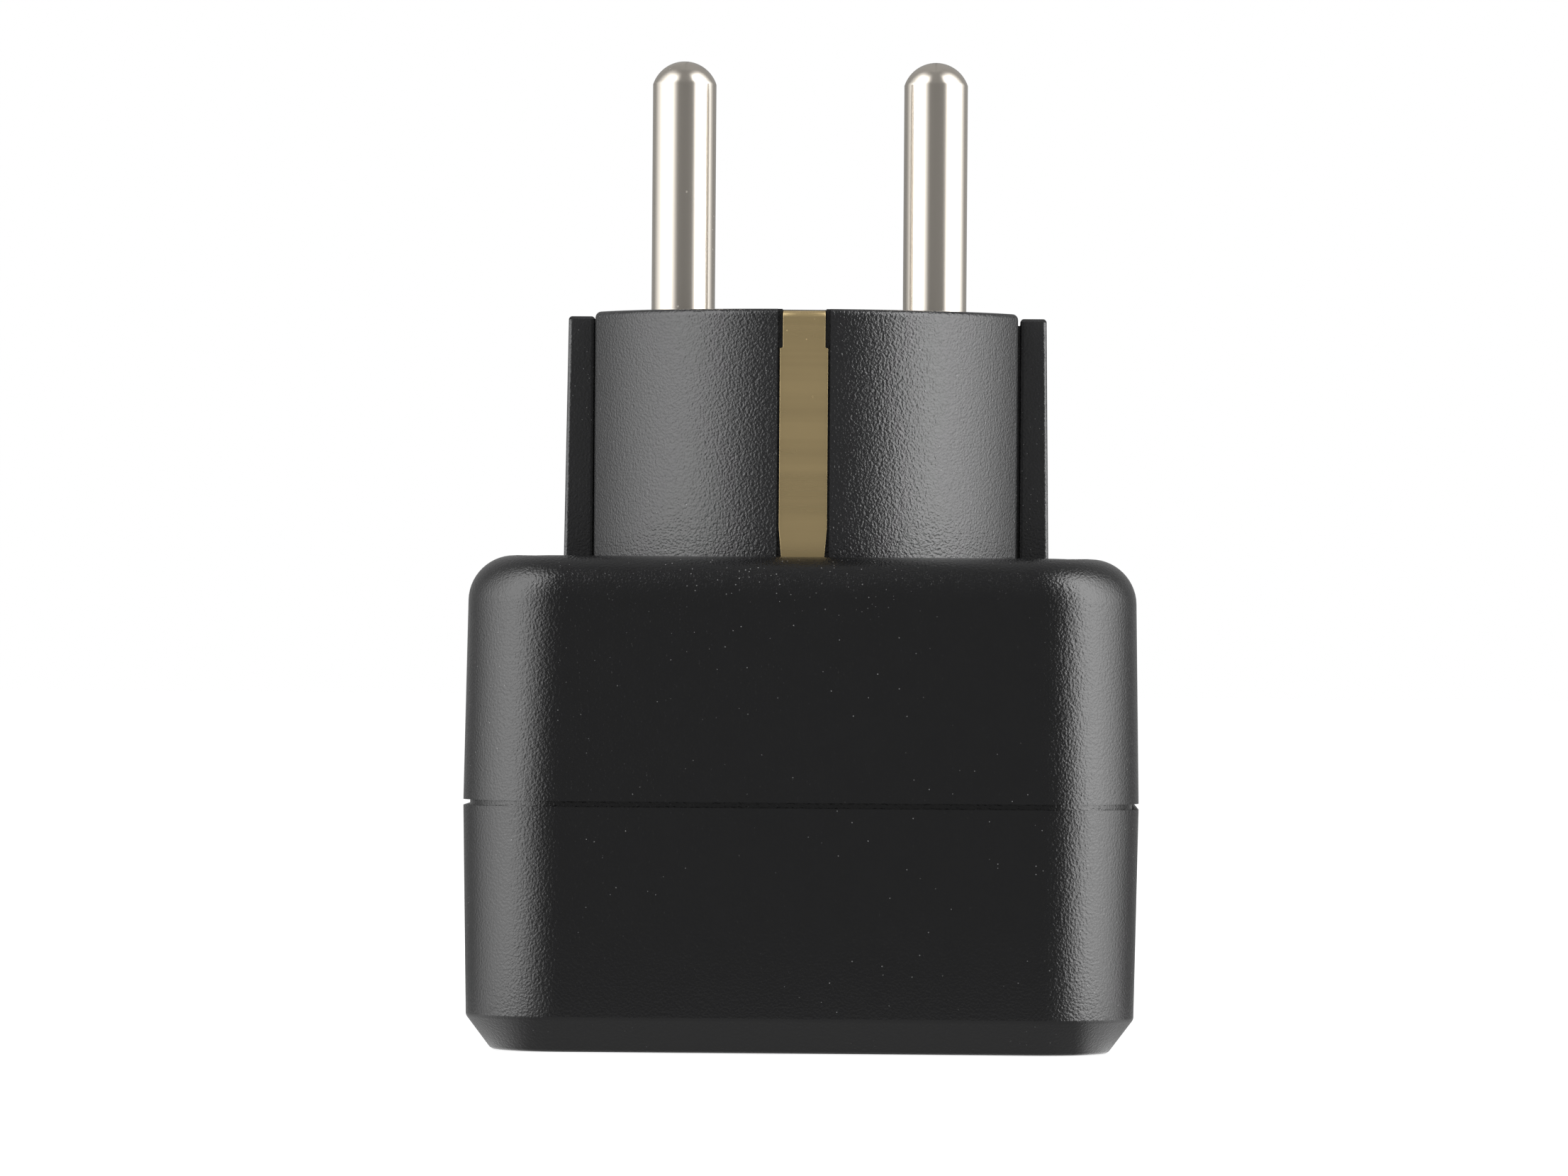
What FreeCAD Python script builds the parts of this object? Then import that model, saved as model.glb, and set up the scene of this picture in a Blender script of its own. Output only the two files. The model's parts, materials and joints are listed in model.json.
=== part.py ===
import FreeCAD
import Part
import math
import os

# Travel plug adapter, in millimetres. It stands on its socket face with its plug pins up.
# +X runs along the line of the two pins, +Z along the pins, and the charging ports face +Y.
# The origin is the middle of the socket face's lowest plane.

# Housing: a lower and an upper shell that meet in a shadow groove
HALF_WIDTH = 24.92
HALF_DEPTH = 25.0
LOWER_HEIGHT = 18.0
UPPER_HEIGHT = 18.0
WALL = 2.0
FACE_THICK = 2.6
TOP_THICK = 2.0
CORNER_RADIUS = 7.5
TOP_EDGE_RADIUS = 3.0
LOWER_DRAFT = 1.0
UPPER_DRAFT = 1.0
BEVEL_HEIGHT = 2.5
BEVEL_WIDTH = 1.85
BEVEL_SOFTENING = 0.5
SEAM_GAP = 0.42
SEAM_DEPTH = 0.5
TONGUE_THICK = 0.9
TONGUE_HEIGHT = 1.5
SHELL_CLEARANCE = 0.1

# Screw bosses and the screws that hold the shells together
BOSS_INSET = 5.87
BOSS_RADIUS = 3.0
GUSSET_THICK = 1.2
SCREW_HEAD_RADIUS = 1.9
SCREW_HEAD_HEIGHT = 1.5
SCREW_SHANK_RADIUS = 1.1
SCREW_LENGTH = 12.0
SCREW_SEAT_THICK = 4.0
SCREW_DRIVE_DEPTH = 0.8
SCREW_DRIVE_WIDTH = 0.6
SCREW_CLEARANCE = 0.15

# Plug: a round body with two flats, guide ears on a carrier, and two pins
PLUG_RADIUS = 17.75
PLUG_HALF_FLAT = 15.8
PLUG_HEIGHT = 18.35
PLUG_WALL = 1.6
PLUG_TOP_THICK = 2.2
PLUG_EDGE_RADIUS = 0.45
PLUG_FLANGE_REACH = 2.2
PLUG_FLANGE_THICK = 1.1
PLUG_CLEARANCE = 0.1
EAR_REACH_BASE = 2.4
EAR_REACH_TOP = 2.15
EAR_HALF_DEPTH = 4.7
EAR_DROP = 0.25
EAR_SLIT = 0.17
EAR_NECK_INSET = 0.7
EAR_NECK_DROP = 0.5
EAR_EDGE_RADIUS = 0.25
GUIDE_SLOT_WIDTH = 5.4
CARRIER_FLANGE_THICK = 1.3
CARRIER_FLANGE_REACH = 2.3
CARRIER_FLANGE_SIDE = 1.8
PIN_SPACING = 19.0
PIN_RADIUS = 2.4
PIN_LENGTH = 19.2
PIN_TIP_HEIGHT = 1.75
PIN_TIP_SPHERE = 2.52
PIN_COLLAR_RADIUS = 3.3
PIN_COLLAR_HEIGHT = 2.0
PIN_COLLAR_DEPTH = 5.0
PIN_TAIL_RADIUS = 1.9
PIN_RIVET_RADIUS = 1.2
PIN_RIVET_LENGTH = 1.2
PIN_FIT = 0.02
PIN_HOLE_CLEARANCE = 0.12

# Earth path: strips on both sides of the plug, a bridge between them and a sleeve
STRIP_WIDTH = 3.57
STRIP_TAB_WIDTH = 3.15
STRIP_TAB_HEIGHT = 2.9
STRIP_FOOT_WIDTH = 3.2
STRIP_TAPER_START = 2.2
STRIP_THICK = 0.6
STRIP_INSET = 0.25
STRIP_FOLD_LENGTH = 2.6
STRIP_BEND_RADIUS = 0.5
STRIP_GROOVE_WIDTH = 3.9
STRIP_CLEARANCE = 0.05
BRIDGE_WIDTH = 4.0
BRIDGE_THICK = 0.8
SLEEVE_OFFSET = 10.0
SLEEVE_BORE_RADIUS = 2.5
SLEEVE_WALL = 0.6
SLEEVE_DEPTH = 15.5
SLEEVE_FLOOR = 0.8
SLEEVE_POST_RADIUS = 1.5
SLEEVE_RECESS = 0.3

# Socket plate in the lower shell's window
WINDOW_BOSS_GAP = 0.3
WINDOW_HALF_DEPTH = 21.0
WINDOW_RADIUS = 2.0
PLATE_RECESS = 0.3
PLATE_FLANGE_THICK = 1.4
PLATE_CLEARANCE = 0.1
WELL_HEIGHT = 5.05
WELL_MARGIN = 0.9
SOCKET_LINE = 6.5
BRITISH_PITCH = 11.11
BRITISH_SLOT_WIDTH = 7.2
BRITISH_SLOT_HEIGHT = 4.6
BRITISH_EARTH_OFFSET = 22.23
BRITISH_EARTH_LENGTH = 8.8
BRITISH_EARTH_WIDTH = 4.8
ROUND_PITCH = 9.5
ROUND_HOLE_RADIUS = 2.6
FLAT_PITCH = 6.35
FLAT_SLOT_WIDTH = 2.4
FLAT_SLOT_HEIGHT = 8.2
SLANT_PITCH = 6.86
SLANT_SLOT_HEIGHT = 7.6
SLANT_ANGLE = 30.0
ROUND_EARTH_OFFSET = 11.9
ROUND_EARTH_RADIUS = 2.7

# Safety shutter, its rails and its return spring
SHUTTER_THICK = 2.0
SHUTTER_OVERLAP = 0.35
SHUTTER_CLEARANCE = 0.15
SHUTTER_TRAVEL = 8.8
SHUTTER_BAR_DEPTH = 2.0
SHUTTER_BAR_INSET = 2.0
SHUTTER_BAR_HEIGHT = 4.4
SHUTTER_RAMP = 5.0
SHUTTER_LIP = 0.4
RAIL_THICK = 0.65
RAIL_LIP = 0.7
SPRING_RADIUS = 1.75
SPRING_WIRE_RADIUS = 0.22
SPRING_TURNS = 8
SPRING_LENGTH = 14.6
SPRING_SEAT_THICK = 1.2
SPRING_SPIGOT_RADIUS = 1.1
SPRING_SPIGOT_LENGTH = 1.0
SPRING_END_CLEARANCE = 0.03

# Contacts, busbars and the cover over them
CONTACT_THICK = 0.5
CONTACT_DEPTH = 9.4
CONTACT_FLARE = 0.7
CONTACT_FLARE_HEIGHT = 1.3
CONTACT_MARGIN = 0.3
BRITISH_PIN_THICK = 4.0
ROUND_EARTH_PIN_RADIUS = 2.4
FLAT_BLADE_THICK = 1.5
PIN_REACH = 17.9
EARTH_PIN_REACH = 22.9
CONTACT_PLATE_THICK = 0.6
BUSBAR_WIDTH = 4.0
BUSBAR_THICK = 0.6
COVER_THICK = 1.0
COVER_GAP = 0.3
COVER_CLEARANCE = 0.3
LEDGE_REACH = 1.2
LEDGE_LENGTH = 10.0
LEDGE_HEIGHT = 9.0

# Charger board and its parts
BOARD_THICK = 1.6
BOARD_POST_HEIGHT = 1.2
BOARD_POST_RADIUS = 1.3
BOARD_GAP = 1.2
BOARD_FRONT = -10.4
BOARD_CLEARANCE = 0.4
BOARD_EDGE_GAP = 0.97
BOARD_PART_GAP = 0.7
SOLDER_GAP = 0.02
HOLD_RIB_WIDTH = 2.0
HOLD_RIB_REACH = 1.9
PORT_WIDTH = 13.1
PORT_HEIGHT = 5.7
PORT_DEPTH = 14.0
PORT_METAL = 0.3
PORT_RECESS = 0.6
PORT_CLEARANCE = 0.15
TONGUE_PLASTIC_WIDTH = 11.1
TONGUE_PLASTIC_THICK = 1.84
TONGUE_PLASTIC_RISE = 2.3
TONGUE_PLASTIC_SETBACK = 1.0
TONGUE_BLOCK_DEPTH = 2.6
PORT_INNER_CLEARANCE = 0.05
FINGER_OFFSETS = (-3.5, -1.0, 1.0, 3.5)
FINGER_WIDTH = 1.0
FINGER_THICK = 0.25
FINGER_SETBACK = 1.2
CORE_LENGTH = 12.8
CORE_WIDTH = 11.4
CORE_TOP_GAP = 1.3
CORE_LEG = 2.6
CORE_LIFT = 1.5
CORE_LINE = -5.2
BOBBIN_WALL = 0.5
WINDING_GAP = 0.1
BULK_LENGTH = 12.0
BULK_GAP = 1.6
BULK_LINE = -6.9
OUTPUT_RADIUS = 3.1
CARRIER_GAP = 0.8
OUTPUT_EDGE_GAP = 0.47
CAN_EDGE_RADIUS = 0.5
RECTIFIER_SIZE = (4.8, 3.9, 2.5)
CHIP_SIZE = (3.9, 4.9, 1.5)
CHIP_LINE = -6.6
DIODE_SIZE = (4.3, 2.6, 2.2)
DIODE_X = 0.0
FUSE_RADIUS = 1.4
FUSE_LENGTH = 6.0
FUSE_LINE = -6.6
CHOKE_RADIUS = 2.7
CHOKE_HEIGHT = 5.5
CHOKE_X = -5.6
DISC_RADIUS = 3.4
DISC_THICK = 2.6
DISC_LINE = -6.6
LEAD_RADIUS = 0.55
LEAD_INSET = 1.1

# Levels and places worked out from the sizes above
SEAM_PLANE = LOWER_HEIGHT + SEAM_GAP
SHOULDER = SEAM_PLANE + UPPER_HEIGHT
CEILING = SHOULDER - TOP_THICK
PLUG_TOP = SHOULDER + PLUG_HEIGHT
PLUG_CEILING = PLUG_TOP - PLUG_TOP_THICK
PIN_TIP = PLUG_TOP + PIN_LENGTH
EAR_TOP = PLUG_TOP - EAR_DROP
NECK_TOP = EAR_TOP - EAR_NECK_DROP
NECK_HALF_DEPTH = EAR_HALF_DEPTH - EAR_NECK_INSET
PLUG_FLANGE_BASE = CEILING - PLUG_CLEARANCE - PLUG_FLANGE_THICK
CARRIER_TOP = PLUG_FLANGE_BASE - PLUG_CLEARANCE
CARRIER_BASE = CARRIER_TOP - CARRIER_FLANGE_THICK
PLUG_INNER_FLAT = PLUG_HALF_FLAT - PLUG_WALL
STRIP_FACE = PLUG_RADIUS - STRIP_INSET
STRIP_BACK = STRIP_FACE - STRIP_THICK
BOSS_X = HALF_WIDTH - BOSS_INSET
BOSS_Y = HALF_DEPTH - BOSS_INSET
WINDOW_HALF_WIDTH = BOSS_X - BOSS_RADIUS - WINDOW_BOSS_GAP
SCREW_SEAT = SEAM_PLANE + SCREW_SEAT_THICK
SLEEVE_RADIUS = SLEEVE_BORE_RADIUS + SLEEVE_WALL
SLEEVE_TOP = PLUG_TOP - SLEEVE_RECESS
SLEEVE_BASE = SLEEVE_TOP - SLEEVE_DEPTH - SLEEVE_FLOOR
EARTH_LINE = SOCKET_LINE - BRITISH_EARTH_OFFSET
ROUND_EARTH_LINE = SOCKET_LINE - ROUND_EARTH_OFFSET
PLATE_FLANGE_TOP = FACE_THICK + PLATE_FLANGE_THICK
SLANT_LEAN = SLANT_SLOT_HEIGHT / 2 * math.sin(math.radians(SLANT_ANGLE))
APERTURE_INNER = SLANT_PITCH - SLANT_LEAN - FLAT_SLOT_WIDTH / 2
APERTURE_OUTER = BRITISH_PITCH + BRITISH_SLOT_WIDTH / 2
APERTURE_HALF_HEIGHT = max(FLAT_SLOT_HEIGHT, SLANT_SLOT_HEIGHT, BRITISH_SLOT_HEIGHT) / 2
SHUTTER_BASE = WELL_HEIGHT + SHUTTER_CLEARANCE
SHUTTER_TOP = SHUTTER_BASE + SHUTTER_THICK
SHUTTER_INNER = APERTURE_INNER - SHUTTER_OVERLAP
SHUTTER_OUTER = APERTURE_OUTER + SHUTTER_OVERLAP
SHUTTER_LOW = SOCKET_LINE - APERTURE_HALF_HEIGHT - SHUTTER_OVERLAP
SHUTTER_HIGH = SOCKET_LINE + APERTURE_HALF_HEIGHT + SHUTTER_OVERLAP
SHUTTER_BAR_LOW = SHUTTER_LOW + SHUTTER_BAR_INSET
SHUTTER_BAR_HIGH = SHUTTER_BAR_LOW + SHUTTER_BAR_DEPTH
SPRING_AXIS = SHUTTER_BASE + SHUTTER_BAR_HEIGHT / 2
SPRING_START = SHUTTER_BAR_HIGH + SPRING_END_CLEARANCE
SPRING_END = SPRING_START + SPRING_LENGTH
SPRING_SEAT = SPRING_END + SPRING_END_CLEARANCE
CONTACT_BASE = PIN_REACH - CONTACT_DEPTH
CONTACT_PLATE_TOP = PIN_REACH + CONTACT_PLATE_THICK
CONTACT_INNER = FLAT_PITCH - FLAT_BLADE_THICK / 2 - CONTACT_THICK
CONTACT_OUTER = APERTURE_OUTER + CONTACT_MARGIN
CONTACT_HALF_DEPTH = APERTURE_HALF_HEIGHT
BUSBAR_FACE = SOCKET_LINE - CONTACT_HALF_DEPTH
COVER_BASE = CONTACT_PLATE_TOP + BUSBAR_THICK + COVER_GAP
COVER_TOP = COVER_BASE + COVER_THICK
BOARD_BASE = COVER_TOP + BOARD_POST_HEIGHT
BOARD_TOP = BOARD_BASE + BOARD_THICK
BOARD_BACK = HALF_DEPTH - WALL - BOARD_GAP
BOARD_HALF_WIDTH = HALF_WIDTH - WALL - BOARD_GAP
PART_BASE = BOARD_TOP + SOLDER_GAP
OUTPUT_HEIGHT = CARRIER_BASE - CARRIER_GAP - PART_BASE
BULK_RADIUS = OUTPUT_HEIGHT / 2
OUTPUT_X = BOARD_HALF_WIDTH - OUTPUT_EDGE_GAP - OUTPUT_RADIUS
RECTIFIER_X = BOARD_HALF_WIDTH - BOARD_EDGE_GAP - RECTIFIER_SIZE[0] / 2
FUSE_X = BOARD_HALF_WIDTH - BOARD_EDGE_GAP - FUSE_RADIUS
BULK_END = FUSE_X - FUSE_RADIUS - BULK_GAP
DISC_START = BOARD_EDGE_GAP - BOARD_HALF_WIDTH
CORE_X = DISC_START + DISC_THICK + BOARD_PART_GAP + CORE_LENGTH / 2
CHIP_X = (CORE_X + CORE_LENGTH / 2 + BULK_END - BULK_LENGTH) / 2
BRIDGE_TOP = CARRIER_BASE - PLUG_CLEARANCE
BRIDGE_BASE = BRIDGE_TOP - BRIDGE_THICK
BUSBAR_TOP = BRIDGE_BASE - COVER_GAP
EARTH_WEB = EARTH_LINE - BRITISH_EARTH_LENGTH / 2 - CONTACT_THICK
CORE_BASE = PART_BASE + CORE_LIFT
CORE_HEIGHT = BUSBAR_TOP - PIN_RIVET_LENGTH - CORE_TOP_GAP - CORE_BASE
PORT_X = (BOSS_X - BOSS_RADIUS) / 2
PORT_BASE = PART_BASE
PORT_FACE = HALF_DEPTH - PORT_RECESS
PORT_BACK = PORT_FACE - PORT_DEPTH
BEHIND_PORTS = PORT_BACK - BOARD_PART_GAP
OUTPUT_LINE = BEHIND_PORTS - OUTPUT_RADIUS
CHOKE_LINE = BEHIND_PORTS - CHOKE_RADIUS
DIODE_LINE = BEHIND_PORTS - DIODE_SIZE[1] / 2
RECTIFIER_LINE = OUTPUT_LINE - OUTPUT_RADIUS - BOARD_PART_GAP - RECTIFIER_SIZE[1] / 2
PIN_X = PIN_SPACING / 2
PLUG_HOLE_X = PLUG_HALF_FLAT + EAR_REACH_BASE + PLUG_CLEARANCE

SIDES = (-1, 1)
UP = FreeCAD.Vector(0, 0, 1)
ALONG_X = FreeCAD.Vector(1, 0, 0)
ALONG_Y = FreeCAD.Vector(0, 1, 0)
PAST = 1.0
SAME_LEVEL = 1e-6


def box(x_range, y_range, z_range):
    """A block between two planes along each axis, given in either order."""
    low = FreeCAD.Vector(min(x_range), min(y_range), min(z_range))
    size = [max(pair) - min(pair) for pair in (x_range, y_range, z_range)]
    return Part.makeBox(size[0], size[1], size[2], low)


def rod(radius, x, y, z_range):
    """An upright cylinder."""
    low, high = min(z_range), max(z_range)
    return Part.makeCylinder(radius, high - low, FreeCAD.Vector(x, y, low), UP)


def join(shapes):
    """One solid from overlapping ones, with its seams cleaned away."""
    whole = shapes[0]
    for shape in shapes[1:]:
        whole = whole.fuse(shape)
    return whole.removeSplitter()


def cut_all(shape, tools):
    """The shape with each tool taken away."""
    for tool in tools:
        shape = shape.cut(tool)
    return shape


def rounded_outline(half_x, half_y, radius, z):
    """A closed rectangle with round corners, at one height."""
    reach_x = half_x - radius
    reach_y = half_y - radius
    centres = ((reach_x, reach_y), (-reach_x, reach_y), (-reach_x, -reach_y), (reach_x, -reach_y))
    arcs = []
    for turn, (x, y) in enumerate(centres):
        circle = Part.Circle(FreeCAD.Vector(x, y, z), UP, radius)
        start = turn * math.pi / 2
        arcs.append(Part.ArcOfCircle(circle, start, start + math.pi / 2).toShape())
    edges = []
    for turn, arc in enumerate(arcs):
        following = arcs[(turn + 1) % 4]
        edges.append(arc)
        edges.append(Part.makeLine(arc.Vertexes[-1].Point, following.Vertexes[0].Point))
    return Part.Wire(edges)


def rounded_plate(half_x, half_y, radius, z_range):
    """A flat plate with round corners."""
    low, high = min(z_range), max(z_range)
    face = Part.Face(rounded_outline(half_x, half_y, radius, low))
    return face.extrude(FreeCAD.Vector(0, 0, high - low))


def housing_outline(inset, z):
    """The housing's outline at the seam, moved in by inset and set at height z."""
    return rounded_outline(HALF_WIDTH - inset, HALF_DEPTH - inset, CORNER_RADIUS - inset, z)


def lower_draft(z):
    """How far the lower shell's side has drawn in at height z."""
    return max(0.0, LOWER_HEIGHT - z) * math.tan(math.radians(LOWER_DRAFT))


def upper_draft(z):
    """How far the upper shell's side has drawn in at height z."""
    return max(0.0, z - SEAM_PLANE) * math.tan(math.radians(UPPER_DRAFT))


def lower_block(inset, levels):
    """A drafted block inside the lower shell's outside, moved in by inset."""
    return Part.makeLoft([housing_outline(inset + lower_draft(z), z) for z in levels], True, True)


def upper_block(inset, levels):
    """A drafted block inside the upper shell's outside, moved in by inset."""
    return Part.makeLoft([housing_outline(inset + upper_draft(z), z) for z in levels], True, True)


def bevelled_block(inset, top):
    """The lower shell's outside with its bevel, moved in by inset, up to the height top."""
    outlines = [housing_outline(inset + BEVEL_WIDTH + lower_draft(0), 0)]
    outlines += [housing_outline(inset + lower_draft(z), z) for z in (BEVEL_HEIGHT, LOWER_HEIGHT)]
    if top > LOWER_HEIGHT:
        outlines.append(housing_outline(inset, top))
    return Part.makeLoft(outlines, True, True)


def edges_on_plane(shape, z):
    """The edges that lie at one height."""
    found = []
    for edge in shape.Edges:
        if abs(edge.BoundBox.ZMin - z) < SAME_LEVEL and abs(edge.BoundBox.ZMax - z) < SAME_LEVEL:
            found.append(edge)
    return found


def shifted_line(points, distance):
    """A run of straight stretches moved sideways to its left, with mitred corners."""
    normals = []
    for (a, b), (c, d) in zip(points, points[1:]):
        length = math.hypot(c - a, d - b)
        normals.append(((b - d) / length, (c - a) / length))
    moved = []
    for index, (a, b) in enumerate(points):
        before = normals[max(0, index - 1)]
        after = normals[min(index, len(normals) - 1)]
        share = distance / (1 + before[0] * after[0] + before[1] * after[1])
        moved.append((a + (before[0] + after[0]) * share, b + (before[1] + after[1]) * share))
    return moved


def folded_strip(points, thickness, span, along):
    """A sheet-metal strip whose section follows points, in XZ or YZ, and runs along Y or X."""
    ring = points + shifted_line(points, thickness)[::-1]
    if along == "y":
        corners = [FreeCAD.Vector(a, span[0], b) for a, b in ring]
        reach = FreeCAD.Vector(0, span[1] - span[0], 0)
    else:
        corners = [FreeCAD.Vector(span[0], a, b) for a, b in ring]
        reach = FreeCAD.Vector(span[1] - span[0], 0, 0)
    return Part.Face(Part.makePolygon(corners + corners[:1])).extrude(reach)


def plug_prism(grow, z_range):
    """The plug body's section, a circle with two flats, moved out by grow."""
    half = PLUG_HALF_FLAT + grow
    radius = PLUG_RADIUS + grow
    return rod(radius, 0, 0, z_range).common(box((-half, half), (-radius, radius), z_range))


def boss_places():
    """The four screw places."""
    return [(x * BOSS_X, y * BOSS_Y) for x in SIDES for y in SIDES]


def boss_gussets(x, y, z_range):
    """The two webs that tie a screw boss to the walls."""
    half = GUSSET_THICK / 2
    return [
        box((x, math.copysign(HALF_WIDTH, x)), (y - half, y + half), z_range),
        box((x - half, x + half), (y, math.copysign(HALF_DEPTH, y)), z_range),
    ]


def lower_shell():
    """The lower shell: bevelled face, window, walls, seam step and tongue, bosses and ledges."""
    outer = bevelled_block(0, LOWER_HEIGHT)
    bevel_edges = edges_on_plane(outer, 0) + edges_on_plane(outer, BEVEL_HEIGHT)
    outer = outer.makeFillet(BEVEL_SOFTENING, bevel_edges)
    root = LOWER_HEIGHT - SEAM_DEPTH
    step = lower_block(SEAM_DEPTH, (root, LOWER_HEIGHT, SEAM_PLANE))
    tongue = lower_block(WALL - TONGUE_THICK, (root, LOWER_HEIGHT, SEAM_PLANE + TONGUE_HEIGHT))
    hollow = lower_block(WALL, (FACE_THICK, LOWER_HEIGHT, SEAM_PLANE + TONGUE_HEIGHT + PAST))
    window = rounded_plate(WINDOW_HALF_WIDTH, WINDOW_HALF_DEPTH, WINDOW_RADIUS, (-PAST, FACE_THICK + PAST))
    shell = cut_all(join([outer, step, tongue]), [hollow, window])
    inside = bevelled_block(WALL / 2, SEAM_PLANE)
    extras = []
    for x, y in boss_places():
        extras.append(rod(BOSS_RADIUS, x, y, (FACE_THICK / 2, SEAM_PLANE)))
        extras += [web.common(inside) for web in boss_gussets(x, y, (FACE_THICK / 2, LOWER_HEIGHT))]
    reach = HALF_WIDTH - WALL - LEDGE_REACH
    ledge_ys = (-LEDGE_LENGTH / 2, LEDGE_LENGTH / 2)
    for side in SIDES:
        root = box((side * reach, side * HALF_WIDTH), ledge_ys, (COVER_BASE - LEDGE_HEIGHT, SEAM_PLANE))
        lip = box((side * reach, side * (HALF_WIDTH - WALL - COVER_CLEARANCE)), ledge_ys,
                  (COVER_BASE - LEDGE_HEIGHT, COVER_BASE))
        extras += [root.common(inside), lip]
    holes = [rod(SCREW_SHANK_RADIUS, x, y, (SCREW_SEAT - SCREW_LENGTH - PAST, SEAM_PLANE + PAST))
             for x, y in boss_places()]
    return cut_all(join([shell] + extras), holes)


def upper_shell():
    """The upper shell: rounded shoulder, plug opening, port openings, posts and hold-down ribs."""
    outer = upper_block(0, (SEAM_PLANE, SHOULDER))
    outer = outer.makeFillet(TOP_EDGE_RADIUS, edges_on_plane(outer, SHOULDER))
    hollow = upper_block(WALL, (SEAM_PLANE, CEILING))
    rebate_inset = WALL - TONGUE_THICK - SHELL_CLEARANCE
    rebate_top = SEAM_PLANE + TONGUE_HEIGHT + SHELL_CLEARANCE
    rebate = rounded_plate(HALF_WIDTH - rebate_inset, HALF_DEPTH - rebate_inset,
                           CORNER_RADIUS - rebate_inset, (SEAM_PLANE - PAST, rebate_top))
    shell = cut_all(outer, [hollow, rebate])
    root = CEILING + TOP_THICK / 2
    inside = upper_block(WALL / 2, (SEAM_PLANE, root))
    extras = []
    for x, y in boss_places():
        extras.append(rod(BOSS_RADIUS, x, y, (SEAM_PLANE, root)))
        extras += [web.common(inside) for web in boss_gussets(x, y, (SCREW_SEAT, root))]
    rib_start = HALF_WIDTH - WALL - HOLD_RIB_REACH
    for side in SIDES:
        rib = box((side * rib_start, side * HALF_WIDTH), (-HOLD_RIB_WIDTH / 2, HOLD_RIB_WIDTH / 2),
                  (BOARD_TOP, root))
        extras.append(rib.common(inside))
    through = (CEILING - PAST, SHOULDER + PAST)
    ear_room = EAR_HALF_DEPTH + PLUG_CLEARANCE
    flange_x, flange_y = carrier_flange_reach()
    flange_room = (CARRIER_BASE - PLUG_CLEARANCE, CEILING)
    openings = [plug_prism(PLUG_CLEARANCE, through),
                box((-PLUG_HOLE_X, PLUG_HOLE_X), (-ear_room, ear_room), through),
                box((-flange_x - PLUG_CLEARANCE, flange_x + PLUG_CLEARANCE),
                    (-flange_y - PLUG_CLEARANCE, flange_y + PLUG_CLEARANCE), flange_room)]
    reach = PORT_WIDTH / 2 + PORT_CLEARANCE
    for side in SIDES:
        openings.append(box((side * PORT_X - reach, side * PORT_X + reach),
                            (HALF_DEPTH - WALL - PAST, HALF_DEPTH + PAST),
                            (PORT_BASE - PORT_CLEARANCE, PORT_BASE + PORT_HEIGHT + PORT_CLEARANCE)))
    for x, y in boss_places():
        head_hole = rod(SCREW_HEAD_RADIUS + SCREW_CLEARANCE, x, y, (SCREW_SEAT, SHOULDER + PAST))
        shank_hole = rod(SCREW_SHANK_RADIUS + SCREW_CLEARANCE, x, y, (SEAM_PLANE - PAST, SCREW_SEAT + PAST))
        openings += [head_hole, shank_hole]
    return cut_all(join([shell] + extras), openings)


def case_screw(x, y):
    """One recessed screw with a cross drive."""
    head = rod(SCREW_HEAD_RADIUS, x, y, (SCREW_SEAT, SCREW_SEAT + SCREW_HEAD_HEIGHT))
    head = head.makeFillet(SCREW_HEAD_HEIGHT / 3, edges_on_plane(head, SCREW_SEAT + SCREW_HEAD_HEIGHT))
    shank = rod(SCREW_SHANK_RADIUS, x, y, (SCREW_SEAT + SCREW_HEAD_HEIGHT / 3, SCREW_SEAT - SCREW_LENGTH))
    reach = SCREW_HEAD_RADIUS * 0.6
    half = SCREW_DRIVE_WIDTH / 2
    top = SCREW_SEAT + SCREW_HEAD_HEIGHT
    drive = (top - SCREW_DRIVE_DEPTH, top + PAST)
    cross = [box((x - reach, x + reach), (y - half, y + half), drive),
             box((x - half, x + half), (y - reach, y + reach), drive)]
    return cut_all(join([head, shank]), cross)


def ear(side_x, side_y):
    """One guide ear, tapering towards the plug's face."""
    inner = PLUG_HALF_FLAT + EAR_SLIT
    wide = PLUG_HALF_FLAT + EAR_REACH_BASE
    narrow = PLUG_HALF_FLAT + EAR_REACH_TOP
    near = side_y * GUIDE_SLOT_WIDTH / 2
    profile = [(inner, CARRIER_BASE), (wide, CARRIER_BASE), (wide, SHOULDER),
               (narrow, EAR_TOP), (inner, EAR_TOP)]
    corners = [FreeCAD.Vector(side_x * x, near, z) for x, z in profile]
    reach = FreeCAD.Vector(0, side_y * EAR_HALF_DEPTH - near, 0)
    block = Part.Face(Part.makePolygon(corners + corners[:1])).extrude(reach)
    return block.makeFillet(EAR_EDGE_RADIUS, edges_on_plane(block, EAR_TOP))


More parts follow.
